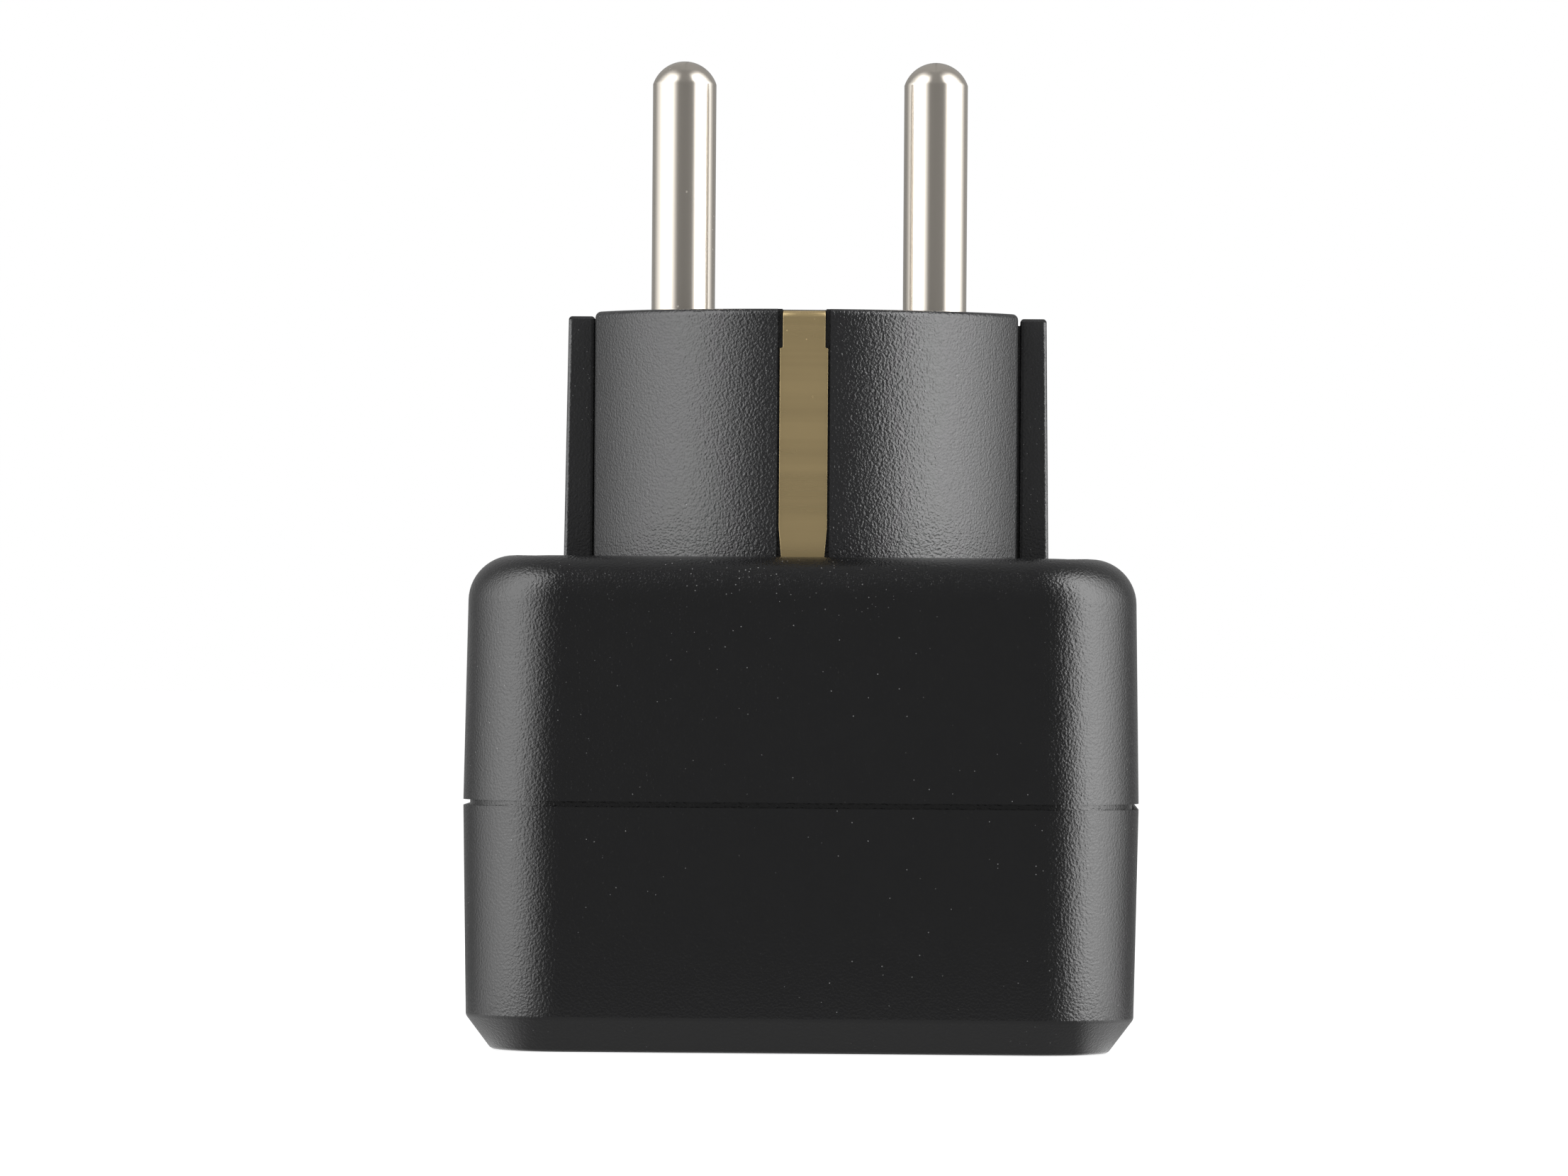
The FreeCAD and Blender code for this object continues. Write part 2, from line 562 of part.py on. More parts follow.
def pin_profile(grow):
    """A plug pin at x = 0: domed tip, shank, and the hidden tail, collar and rivet, grown by grow."""
    shoulder = PIN_TIP - PIN_TIP_HEIGHT
    collar_top = PLUG_TOP - PIN_COLLAR_DEPTH
    collar_base = collar_top - PIN_COLLAR_HEIGHT
    shank = rod(PIN_RADIUS, 0, 0, (PLUG_TOP, shoulder))
    dome = Part.makeSphere(PIN_TIP_SPHERE, FreeCAD.Vector(0, 0, PIN_TIP - PIN_TIP_SPHERE), UP)
    tip = dome.common(rod(PIN_RADIUS, 0, 0, (shoulder - PIN_TIP_HEIGHT / 2, PIN_TIP + PAST)))
    collar = rod(PIN_COLLAR_RADIUS + grow, 0, 0, (collar_base, collar_top))
    tail = rod(PIN_TAIL_RADIUS + grow, 0, 0, (BUSBAR_TOP, PLUG_TOP + PIN_TIP_HEIGHT))
    rivet = rod(PIN_RIVET_RADIUS + grow, 0, 0, (BUSBAR_TOP - PIN_RIVET_LENGTH, BUSBAR_TOP + PAST))
    return join([shank, tip, collar, tail, rivet])


def plug_pin(side):
    """The live or the neutral pin."""
    pin = pin_profile(0)
    pin.translate(FreeCAD.Vector(side * PIN_X, 0, 0))
    return pin


def carrier_flange_reach():
    """How far the pin carrier's flange reaches from the middle, along X and Y."""
    return PLUG_HALF_FLAT + EAR_REACH_BASE + CARRIER_FLANGE_REACH, EAR_HALF_DEPTH + CARRIER_FLANGE_SIDE


def pin_carrier():
    """The inner block that holds both pins and carries the guide ears at its ends."""
    core_span = (CARRIER_BASE, PLUG_CEILING - PLUG_CLEARANCE)
    cup = plug_prism(-PLUG_WALL - PLUG_CLEARANCE, core_span)
    core = cup.common(box((-PLUG_RADIUS, PLUG_RADIUS), (-EAR_HALF_DEPTH, EAR_HALF_DEPTH), core_span))
    flange_x, flange_y = carrier_flange_reach()
    flange = box((-flange_x, flange_x), (-flange_y, flange_y), (CARRIER_BASE, CARRIER_TOP))
    neck_start = PLUG_INNER_FLAT - PLUG_WALL
    neck_end = PLUG_HALF_FLAT + EAR_REACH_TOP / 2
    slot_half = GUIDE_SLOT_WIDTH / 2
    pieces = [core, flange]
    for side_x in SIDES:
        neck = box((side_x * neck_start, side_x * neck_end), (-NECK_HALF_DEPTH, NECK_HALF_DEPTH),
                   (CARRIER_BASE, NECK_TOP))
        slot = box((side_x * PLUG_HALF_FLAT, side_x * (neck_end + PAST)), (-slot_half, slot_half),
                   (CARRIER_BASE - PAST, NECK_TOP + PAST))
        pieces.append(neck.cut(slot))
        for side_y in SIDES:
            pieces.append(ear(side_x, side_y))
    block = join(pieces)
    for side in SIDES:
        room = pin_profile(PIN_FIT)
        room.translate(FreeCAD.Vector(side * PIN_X, 0, 0))
        block = block.cut(room)
    return block


def strip_groove(side, z_range):
    """The groove along the plug body that one earth strip lies in."""
    half = STRIP_GROOVE_WIDTH / 2
    floor = STRIP_BACK - STRIP_CLEARANCE
    rim = PLUG_RADIUS + PLUG_FLANGE_REACH + PAST
    return box((-half, half), (side * floor, side * rim), z_range)


def plug_body():
    """The round plug body: a cup with flats, strip grooves, pin holes and a hidden flange."""
    body = plug_prism(0, (PLUG_FLANGE_BASE, PLUG_TOP))
    body = body.makeFillet(PLUG_EDGE_RADIUS, edges_on_plane(body, PLUG_TOP))
    reach = PLUG_RADIUS + PLUG_FLANGE_REACH
    body = join([body, rod(reach, 0, 0, (PLUG_FLANGE_BASE, PLUG_FLANGE_BASE + PLUG_FLANGE_THICK))])
    cup = plug_prism(-PLUG_WALL, (PLUG_FLANGE_BASE - PAST, PLUG_CEILING))
    tools = [cup]
    face_cut = (PLUG_CEILING - PAST, PLUG_TOP + PAST)
    for side in SIDES:
        tools.append(strip_groove(side, (PLUG_FLANGE_BASE - PAST, PLUG_TOP + PAST)))
        fold_half = STRIP_TAB_WIDTH / 2 + STRIP_CLEARANCE
        fold_reach = STRIP_FACE - STRIP_FOLD_LENGTH - STRIP_CLEARANCE
        fold_floor = PLUG_TOP - STRIP_INSET / 2 - STRIP_THICK - STRIP_CLEARANCE
        tools.append(box((-fold_half, fold_half), (side * fold_reach, side * PLUG_RADIUS),
                         (fold_floor, PLUG_TOP + PAST)))
        tools.append(rod(PIN_RADIUS + PIN_HOLE_CLEARANCE, side * PIN_X, 0, face_cut))
    half = NECK_HALF_DEPTH + PLUG_CLEARANCE
    reach += PAST
    tools.append(box((-reach, reach), (-half, half), (PLUG_FLANGE_BASE - PAST, NECK_TOP + PLUG_CLEARANCE)))
    ear_half = EAR_HALF_DEPTH + PLUG_CLEARANCE
    for side in SIDES:
        tools.append(box((side * (PLUG_HALF_FLAT + EAR_SLIT / 2), side * reach), (-ear_half, ear_half),
                         (PLUG_FLANGE_BASE - PAST, SHOULDER)))
    tools.append(rod(SLEEVE_RADIUS + PLUG_CLEARANCE, 0, SLEEVE_OFFSET, face_cut))
    return cut_all(body, tools)


def earth_strip(side):
    """One earth strip: foot, wide part, and a narrow tab folded over the plug's face."""
    top = PLUG_TOP - STRIP_INSET / 2
    tab_base = PLUG_TOP - STRIP_TAB_HEIGHT
    taper = SHOULDER + STRIP_TAPER_START
    ys = (side * STRIP_BACK, side * STRIP_FACE)
    half_wide = STRIP_WIDTH / 2
    half_foot = STRIP_FOOT_WIDTH / 2
    half_tab = STRIP_TAB_WIDTH / 2
    outline = [(-half_foot, BRIDGE_BASE), (half_foot, BRIDGE_BASE), (half_foot, SHOULDER),
               (half_wide, taper), (half_wide, tab_base), (half_tab, tab_base), (half_tab, top),
               (-half_tab, top), (-half_tab, tab_base), (-half_wide, tab_base), (-half_wide, taper),
               (-half_foot, SHOULDER)]
    corners = [FreeCAD.Vector(x, ys[0], z) for x, z in outline]
    flat = Part.Face(Part.makePolygon(corners + corners[:1])).extrude(FreeCAD.Vector(0, ys[1] - ys[0], 0))
    fold_end = side * (STRIP_FACE - STRIP_FOLD_LENGTH)
    fold = box((-half_tab, half_tab), (ys[1], fold_end), (top - STRIP_THICK, top))
    strip = join([flat, fold])
    bend = [edge for edge in edges_on_plane(strip, top) if abs(edge.CenterOfMass.y - ys[1]) < SAME_LEVEL]
    return strip.makeFillet(STRIP_BEND_RADIUS, bend)


def earth_bridge():
    """The plate under the pin carrier that joins both strips and the sleeve."""
    reach = STRIP_BACK - STRIP_CLEARANCE / 2
    return box((-BRIDGE_WIDTH / 2, BRIDGE_WIDTH / 2), (-reach, reach), (BRIDGE_BASE, BRIDGE_TOP))


def earth_sleeve():
    """The sleeve in the plug's face that takes a wall socket's own earth pin."""
    tube = rod(SLEEVE_RADIUS, 0, SLEEVE_OFFSET, (SLEEVE_BASE, SLEEVE_TOP))
    post = rod(SLEEVE_POST_RADIUS, 0, SLEEVE_OFFSET, (BRIDGE_TOP, SLEEVE_BASE + SLEEVE_FLOOR / 2))
    bore = rod(SLEEVE_BORE_RADIUS, 0, SLEEVE_OFFSET, (SLEEVE_BASE + SLEEVE_FLOOR, SLEEVE_TOP + PAST))
    return join([tube, post]).cut(bore)


def slot_cutter(x, y, width, height, z_range):
    """A straight slot cutter."""
    return box((x - width / 2, x + width / 2), (y - height / 2, y + height / 2), z_range)


def socket_cutters():
    """The openings of the socket: one combined opening a side, a long earth slot and a round one."""
    span = (-PAST, WELL_HEIGHT + PAST)
    cutters = []
    for side in SIDES:
        wide = slot_cutter(side * BRITISH_PITCH, SOCKET_LINE, BRITISH_SLOT_WIDTH, BRITISH_SLOT_HEIGHT, span)
        flat = slot_cutter(side * FLAT_PITCH, SOCKET_LINE, FLAT_SLOT_WIDTH, FLAT_SLOT_HEIGHT, span)
        slant = slot_cutter(side * SLANT_PITCH, SOCKET_LINE, FLAT_SLOT_WIDTH, SLANT_SLOT_HEIGHT, span)
        slant.rotate(FreeCAD.Vector(side * SLANT_PITCH, SOCKET_LINE, 0), UP, side * SLANT_ANGLE)
        cutters += [wide, rod(ROUND_HOLE_RADIUS, side * ROUND_PITCH, SOCKET_LINE, span), flat, slant]
    cutters.append(slot_cutter(0, EARTH_LINE, BRITISH_EARTH_WIDTH, BRITISH_EARTH_LENGTH, span))
    cutters.append(rod(ROUND_EARTH_RADIUS, 0, ROUND_EARTH_LINE, span))
    return cutters


def boss_notch(x, y, clearance, z_range):
    """The corner that a plate leaves free round a screw boss and its webs."""
    gap = BOSS_RADIUS + clearance
    near_x = x - math.copysign(gap, x)
    near_y = y - math.copysign(gap, y)
    far_x = math.copysign(HALF_WIDTH, x)
    far_y = math.copysign(HALF_DEPTH, y)
    return [rod(gap, x, y, z_range),
            box((x, far_x), (near_y, far_y), z_range),
            box((near_x, far_x), (y, far_y), z_range)]


def shutter_rail(side):
    """One rail with a lip that keeps the shutter down."""
    inner = SHUTTER_OUTER + SHUTTER_CLEARANCE
    lip_base = SHUTTER_TOP + SHUTTER_CLEARANCE
    length = (SHUTTER_LOW - SHUTTER_CLEARANCE, SHUTTER_HIGH + SHUTTER_TRAVEL + SHUTTER_CLEARANCE)
    outer = side * (inner + RAIL_THICK)
    wall = box((side * inner, outer), length, (FACE_THICK, lip_base + RAIL_LIP))
    lip = box((side * (inner - RAIL_LIP), outer), length, (lip_base, lip_base + RAIL_LIP))
    return join([wall, lip])


def socket_plate():
    """The plate in the window: face, flange, wells round the openings, rails and spring seat."""
    insert = rounded_plate(WINDOW_HALF_WIDTH - PLATE_CLEARANCE, WINDOW_HALF_DEPTH - PLATE_CLEARANCE,
                           WINDOW_RADIUS - PLATE_CLEARANCE, (PLATE_RECESS, PLATE_FLANGE_TOP))
    inset = WALL + lower_draft(FACE_THICK) + PLATE_CLEARANCE
    flange = rounded_plate(HALF_WIDTH - inset, HALF_DEPTH - inset, CORNER_RADIUS - inset,
                           (FACE_THICK, PLATE_FLANGE_TOP))
    well_low = SOCKET_LINE - APERTURE_HALF_HEIGHT - WELL_MARGIN
    well_high = SOCKET_LINE + APERTURE_HALF_HEIGHT + WELL_MARGIN
    well_outer = SHUTTER_OUTER + SHUTTER_CLEARANCE + RAIL_THICK / 2
    wells = [box((side * (APERTURE_INNER - WELL_MARGIN), side * well_outer), (well_low, well_high),
                 (FACE_THICK, WELL_HEIGHT)) for side in SIDES]
    earth_half = BRITISH_EARTH_WIDTH / 2 + WELL_MARGIN
    earth_low = EARTH_LINE - BRITISH_EARTH_LENGTH / 2 - WELL_MARGIN
    earth_high = EARTH_LINE + BRITISH_EARTH_LENGTH / 2 + WELL_MARGIN
    wells.append(box((-earth_half, earth_half), (earth_low, earth_high), (FACE_THICK, WELL_HEIGHT)))
    wells.append(rod(ROUND_EARTH_RADIUS + WELL_MARGIN, 0, ROUND_EARTH_LINE, (FACE_THICK, WELL_HEIGHT)))
    rails = [shutter_rail(side) for side in SIDES]
    seat_half = SPRING_RADIUS + SPRING_WIRE_RADIUS
    seat = box((-seat_half, seat_half), (SPRING_SEAT, SPRING_SEAT + SPRING_SEAT_THICK),
               (FACE_THICK, SPRING_AXIS + seat_half))
    spigot = Part.makeCylinder(SPRING_SPIGOT_RADIUS, SPRING_SPIGOT_LENGTH + SPRING_SEAT_THICK / 2,
                               FreeCAD.Vector(0, SPRING_SEAT - SPRING_SPIGOT_LENGTH, SPRING_AXIS), ALONG_Y)
    plate = join([insert, flange] + wells + rails + [seat, spigot])
    tall = (FACE_THICK, SHUTTER_TOP + SHUTTER_CLEARANCE + RAIL_LIP + PAST)
    corners = []
    for x, y in boss_places():
        corners += boss_notch(x, y, PLATE_CLEARANCE, tall)
    return cut_all(plate, socket_cutters() + corners)


def shutter():
    """The sliding shutter: two flaps with ramps, a bar between them and the spring's spigot."""
    pieces = []
    for side in SIDES:
        outline = [(SHUTTER_LOW, SHUTTER_TOP), (SHUTTER_LOW, SHUTTER_TOP - SHUTTER_LIP),
                   (SHUTTER_LOW + SHUTTER_RAMP, SHUTTER_BASE),
                   (SHUTTER_HIGH, SHUTTER_BASE), (SHUTTER_HIGH, SHUTTER_TOP)]
        corners = [FreeCAD.Vector(side * SHUTTER_INNER, y, z) for y, z in outline]
        reach = FreeCAD.Vector(side * (SHUTTER_OUTER - SHUTTER_INNER), 0, 0)
        pieces.append(Part.Face(Part.makePolygon(corners + corners[:1])).extrude(reach))
    bar = box((-SHUTTER_INNER - PAST, SHUTTER_INNER + PAST), (SHUTTER_BAR_LOW, SHUTTER_BAR_HIGH),
              (SHUTTER_BASE, SHUTTER_TOP))
    tower_half = SPRING_RADIUS + SPRING_WIRE_RADIUS
    tower = box((-tower_half, tower_half), (SHUTTER_BAR_LOW, SHUTTER_BAR_HIGH),
                (SHUTTER_BASE, SHUTTER_BASE + SHUTTER_BAR_HEIGHT))
    root = FreeCAD.Vector(0, SHUTTER_BAR_HIGH - SHUTTER_BAR_DEPTH / 2, SPRING_AXIS)
    length = SPRING_SPIGOT_LENGTH + SHUTTER_BAR_DEPTH / 2
    spigot = Part.makeCylinder(SPRING_SPIGOT_RADIUS, length, root, ALONG_Y)
    return join(pieces + [bar, tower, spigot])


def arc_from(start, tangent, end):
    """An arc that leaves start along tangent and ends at end."""
    chord = end - start
    angle = chord.getAngle(tangent)
    ahead = FreeCAD.Vector(chord)
    ahead.normalize()
    outward = tangent - ahead * tangent.dot(ahead)
    outward.normalize()
    middle = start + chord * 0.5 + outward * (chord.Length / 2 * math.tan(angle / 2))
    return Part.Arc(start, middle, end).toShape()


def helix_state(turn, radius, pitch):
    """The point and the direction of a helix round the Y axis after a number of turns."""
    angle = turn * 2 * math.pi
    point = FreeCAD.Vector(radius * math.cos(angle), pitch * turn, radius * math.sin(angle))
    along = FreeCAD.Vector(-radius * math.sin(angle), pitch / (2 * math.pi), radius * math.cos(angle))
    along.normalize()
    return point, along


def coil_path(radius, pitch, turns):
    """A helix of two arcs to each quarter turn, which meet along a common tangent."""
    edges = []
    for quarter in range(4 * turns):
        start, start_along = helix_state(quarter / 4, radius, pitch)
        end, end_along = helix_state((quarter + 1) / 4, radius, pitch)
        chord = end - start
        spread = 2 * (1 - start_along.dot(end_along))
        reach = chord.dot(start_along + end_along)
        length = (math.sqrt(reach * reach + spread * chord.dot(chord)) - reach) / spread
        middle = (start + start_along * length + end - end_along * length) * 0.5
        edges.append(arc_from(start, start_along, middle))
        back = arc_from(end, end_along * -1, middle)
        halfway = back.valueAt((back.FirstParameter + back.LastParameter) / 2)
        edges.append(Part.Arc(middle, halfway, end).toShape())
    return Part.Wire(edges)


def shutter_spring():
    """The compression spring that closes the shutter."""
    pitch = (SPRING_LENGTH - 2 * SPRING_WIRE_RADIUS) / SPRING_TURNS
    start, along = helix_state(0, SPRING_RADIUS, pitch)
    section = Part.Wire(Part.makeCircle(SPRING_WIRE_RADIUS, start, along))
    coil = coil_path(SPRING_RADIUS, pitch, SPRING_TURNS).makePipeShell([section], True, False)
    coil.translate(FreeCAD.Vector(0, SPRING_START + SPRING_WIRE_RADIUS, SPRING_AXIS))
    return coil


def gripping_pair(centre, gap, span, along, top, bottom):
    """Two facing leaves with flared mouths, gap apart, about a centre line."""
    leaves = []
    for side in SIDES:
        face = centre + side * gap / 2
        mouth = face + side * CONTACT_FLARE
        points = [(mouth, bottom), (face, bottom + CONTACT_FLARE_HEIGHT), (face, top)]
        leaves.append(folded_strip(points, -side * CONTACT_THICK, span, along))
    return leaves


def mains_contact(side):
    """The live or neutral socket contact: a plate with leaves for round pins and for flat blades."""
    xs = (side * CONTACT_INNER, side * CONTACT_OUTER)
    ys = (SOCKET_LINE - CONTACT_HALF_DEPTH, SOCKET_LINE + CONTACT_HALF_DEPTH)
    plate = box(xs, ys, (PIN_REACH, CONTACT_PLATE_TOP))
    top = PIN_REACH + CONTACT_PLATE_THICK / 2
    inner = FLAT_PITCH + FLAT_BLADE_THICK / 2 + 2 * CONTACT_THICK + CONTACT_FLARE
    span = sorted((side * inner, side * CONTACT_OUTER))
    gap = BRITISH_PIN_THICK - 2 * CONTACT_MARGIN
    round_leaves = gripping_pair(SOCKET_LINE, gap, span, "x", top, CONTACT_BASE)
    flat_span = (ys[0] + CONTACT_MARGIN, ys[1] - CONTACT_MARGIN)
    flat_leaves = gripping_pair(side * FLAT_PITCH, FLAT_BLADE_THICK, flat_span, "y", top, CONTACT_BASE)
    return join([plate] + round_leaves + flat_leaves)


def mains_busbar(side):
    """The strip from a socket contact up to a plug pin's rivet."""
    half = BUSBAR_WIDTH / 2
    xs = (side * PIN_X - half, side * PIN_X + half)
    foot = box(xs, (BUSBAR_FACE, SOCKET_LINE), (CONTACT_PLATE_TOP, CONTACT_PLATE_TOP + BUSBAR_THICK))
    riser = box(xs, (BUSBAR_FACE, BUSBAR_FACE + BUSBAR_THICK), (CONTACT_PLATE_TOP, BUSBAR_TOP))
    landing = box(xs, (-half, BUSBAR_FACE + BUSBAR_THICK), (BUSBAR_TOP - BUSBAR_THICK, BUSBAR_TOP))
    hole = rod(PIN_RIVET_RADIUS + PIN_FIT, side * PIN_X, 0, (BUSBAR_TOP - PAST, BUSBAR_TOP + PAST))
    return join([foot, riser, landing]).cut(hole)


def earth_contact():
    """The earth contact: a tall channel for a long flat pin and a split tube for a round one."""
    gap = BRITISH_PIN_THICK - 2 * CONTACT_MARGIN
    half = gap / 2 + CONTACT_THICK
    low = EARTH_LINE - BRITISH_EARTH_LENGTH / 2
    high = EARTH_LINE + BRITISH_EARTH_LENGTH / 2
    leaves = gripping_pair(0, gap, (low - CONTACT_THICK / 2, high), "y", EARTH_PIN_REACH, CONTACT_BASE)
    web = box((-half, half), (EARTH_WEB, EARTH_WEB + CONTACT_THICK),
              (CONTACT_BASE + CONTACT_FLARE_HEIGHT, EARTH_PIN_REACH))
    tube_radius = ROUND_EARTH_PIN_RADIUS + CONTACT_THICK
    span = (CONTACT_BASE, PIN_REACH)
    bore = rod(ROUND_EARTH_PIN_RADIUS, 0, ROUND_EARTH_LINE, (CONTACT_BASE - PAST, PIN_REACH + PAST))
    slit = box((-CONTACT_MARGIN, CONTACT_MARGIN), (ROUND_EARTH_LINE, ROUND_EARTH_LINE + tube_radius + PAST),
               (CONTACT_BASE - PAST, PIN_REACH - PAST))
    tube = cut_all(rod(tube_radius, 0, ROUND_EARTH_LINE, span), [bore, slit])
    arm = box((-half, half), (high - CONTACT_THICK, ROUND_EARTH_LINE + tube_radius),
              (PIN_REACH - CONTACT_THICK / 2, CONTACT_PLATE_TOP))
    return join(leaves + [web, tube, arm])


def earth_busbar():
    """The strip from the earth contact's web up and in under the earth bridge."""
    half = BUSBAR_WIDTH / 2
    outer = EARTH_WEB - BUSBAR_THICK
    riser = box((-half, half), (outer, EARTH_WEB), (CONTACT_BASE + CONTACT_DEPTH / 2, BRIDGE_BASE))
    landing = box((-half, half), (outer, EARTH_LINE + BUSBAR_WIDTH),
                  (BRIDGE_BASE - BUSBAR_THICK, BRIDGE_BASE))
    return join([riser, landing])


def contact_cover():
    """The insulating cover over the contacts, with posts for the board."""
    inset = WALL + COVER_CLEARANCE
    plate = rounded_plate(HALF_WIDTH - inset, HALF_DEPTH - inset, CORNER_RADIUS - inset,
                          (COVER_BASE, COVER_TOP))
    posts = [rod(BOARD_POST_RADIUS, x, y, (COVER_BASE, BOARD_BASE)) for x, y in board_posts()]
    cover = join([plate] + posts)
    tools = []
    for x, y in boss_places():
        tools += boss_notch(x, y, COVER_CLEARANCE, (COVER_BASE - PAST, COVER_TOP + PAST))
    for side in SIDES:
        tools.append(busbar_slot(side, (COVER_BASE - PAST, COVER_TOP + PAST)))
    channel = BRITISH_PIN_THICK / 2 + CONTACT_THICK + COVER_CLEARANCE
    low = EARTH_WEB - BUSBAR_THICK - COVER_CLEARANCE
    high = EARTH_LINE + BRITISH_EARTH_LENGTH / 2 + COVER_CLEARANCE
    tools.append(box((-channel, channel), (low, high), (COVER_BASE - PAST, COVER_TOP + PAST)))
    return cut_all(cover, tools)


def busbar_slot(side, z_range):
    """The slot that a mains busbar passes through."""
    half = BUSBAR_WIDTH / 2 + COVER_CLEARANCE
    return box((side * PIN_X - half, side * PIN_X + half),
               (BUSBAR_FACE - COVER_CLEARANCE, BUSBAR_FACE + BUSBAR_THICK + COVER_CLEARANCE), z_range)


def board_posts():
    """The places of the posts under the board, near its corners."""
    reach = BOARD_HALF_WIDTH - BOARD_POST_RADIUS - BOARD_CLEARANCE
    front = BOARD_FRONT + BOARD_POST_RADIUS + BOARD_CLEARANCE
    back = BOSS_Y - BOSS_RADIUS - BOARD_POST_RADIUS - 2 * BOARD_CLEARANCE
    return [(side * reach, y) for side in SIDES for y in (front, back)]


def charger_board():
    """The board that carries the charger, notched round the posts and busbars."""
    half = BOARD_HALF_WIDTH
    board = box((-half, half), (BOARD_FRONT, BOARD_BACK), (BOARD_BASE, BOARD_TOP))
    tall = (BOARD_BASE - PAST, BOARD_TOP + PAST)
    tools = [busbar_slot(side, tall) for side in SIDES]
    for side in SIDES:
        tools += boss_notch(side * BOSS_X, BOSS_Y, BOARD_CLEARANCE, tall)
    return cut_all(board, tools)


def port_shell(side):
    """The metal shell of one charging port, open at its mouth."""
    x = side * PORT_X
    half = PORT_WIDTH / 2
    outer = box((x - half, x + half), (PORT_BACK, PORT_FACE), (PORT_BASE, PORT_BASE + PORT_HEIGHT))
    inner = box((x - half + PORT_METAL, x + half - PORT_METAL), (PORT_BACK + PORT_METAL, PORT_FACE + PAST),
                (PORT_BASE + PORT_METAL, PORT_BASE + PORT_HEIGHT - PORT_METAL))
    return outer.cut(inner)


def port_tongue(side):
    """The plastic tongue of one charging port and the block that it stands on."""
    x = side * PORT_X
    half_block = PORT_WIDTH / 2 - PORT_METAL - PORT_INNER_CLEARANCE
    half = TONGUE_PLASTIC_WIDTH / 2
    floor = PORT_BASE + PORT_METAL + PORT_INNER_CLEARANCE
    back = PORT_BACK + PORT_METAL + PORT_INNER_CLEARANCE
    block = box((x - half_block, x + half_block), (back, back + TONGUE_BLOCK_DEPTH),
                (floor, PORT_BASE + PORT_HEIGHT - PORT_METAL - PORT_INNER_CLEARANCE))
    low = PORT_BASE + PORT_METAL + TONGUE_PLASTIC_RISE
    front = PORT_FACE - TONGUE_PLASTIC_SETBACK
    tongue = box((x - half, x + half), (back, front), (low, low + TONGUE_PLASTIC_THICK))
    return join([block, tongue])


def port_fingers(side):
    """The four contact fingers under one port's tongue."""
    x = side * PORT_X
    low = PORT_BASE + PORT_METAL + TONGUE_PLASTIC_RISE
    start = PORT_BACK + PORT_METAL + PORT_INNER_CLEARANCE + TONGUE_BLOCK_DEPTH
    end = PORT_FACE - TONGUE_PLASTIC_SETBACK - FINGER_SETBACK
    half = FINGER_WIDTH / 2
    fingers = [box((x + offset - half, x + offset + half), (start, end), (low - FINGER_THICK, low))
               for offset in FINGER_OFFSETS]
    return Part.makeCompound(fingers)


def transformer_core():
    """The ferrite core, held above the board: two end legs, a middle leg and the yokes."""
    x = CORE_X
    y = CORE_LINE
    base = CORE_BASE
    half_x = CORE_LENGTH / 2
    half_y = CORE_WIDTH / 2
    core = box((x - half_x, x + half_x), (y - half_y, y + half_y), (base, base + CORE_HEIGHT))
    reach_x, reach_y = winding_window()
    for side in SIDES:
        core = core.cut(box((x + side * CORE_LEG / 2, x + side * reach_x), (y - reach_y, y + reach_y),
                            (base - PAST, base + CORE_HEIGHT + PAST)))
    return core


def winding_window():
    """How far the core's windows reach from its middle, along X and Y."""
    return CORE_LENGTH / 2 - CORE_LEG / 2, CORE_WIDTH / 2 - CORE_LEG


def round_the_leg(grow, rise, y_range):
    """A block round the core's middle leg, grow wider on each side and rise higher above and below."""
    x = CORE_X
    base = CORE_BASE
    half = CORE_LEG / 2 + grow
    return box((x - half, x + half), y_range, (base - rise, base + CORE_HEIGHT + rise))


def transformer_bobbin():
    """The bobbin round the core's middle leg: a tube with a flange at each end."""
    y = CORE_LINE
    reach_x, reach_y = winding_window()
    end = reach_y - WINDING_GAP
    thick = WINDING_GAP + BOBBIN_WALL
    pieces = [round_the_leg(thick, thick, (y - end, y + end))]
    wide = reach_x - CORE_LEG / 2 - WINDING_GAP
    for side in SIDES:
        near = y + side * (end - BOBBIN_WALL)
        pieces.append(round_the_leg(wide, CORE_LIFT, (near, y + side * end)))
    room = round_the_leg(WINDING_GAP, WINDING_GAP, (y - reach_y - PAST, y + reach_y + PAST))
    return join(pieces).cut(room)


def transformer_winding():
    """The taped winding on the bobbin."""
    y = CORE_LINE
    reach_x, reach_y = winding_window()
    end = reach_y - 2 * WINDING_GAP - BOBBIN_WALL
    wide = reach_x - CORE_LEG / 2 - 2 * WINDING_GAP
    thick = 2 * WINDING_GAP + BOBBIN_WALL
    block = round_the_leg(wide, CORE_LIFT - WINDING_GAP, (y - end, y + end))
    return block.cut(round_the_leg(thick, thick, (y - end - PAST, y + end + PAST)))


def upright_can(radius, height, x, y):
    """A round part standing on the board, with soft edges."""
    top = PART_BASE + height
    can = rod(radius, x, y, (PART_BASE, top))
    return can.makeFillet(CAN_EDGE_RADIUS, edges_on_plane(can, top))


def bulk_capacitor():
    """The large capacitor, lying along X."""
    axis = PART_BASE + BULK_RADIUS
    start = FreeCAD.Vector(BULK_END - BULK_LENGTH, BULK_LINE, axis)
    can = Part.makeCylinder(BULK_RADIUS, BULK_LENGTH, start, ALONG_X)
    rims = [edge for edge in can.Edges if edge.Curve.TypeId == "Part::GeomCircle"]
    return can.makeFillet(CAN_EDGE_RADIUS, rims)


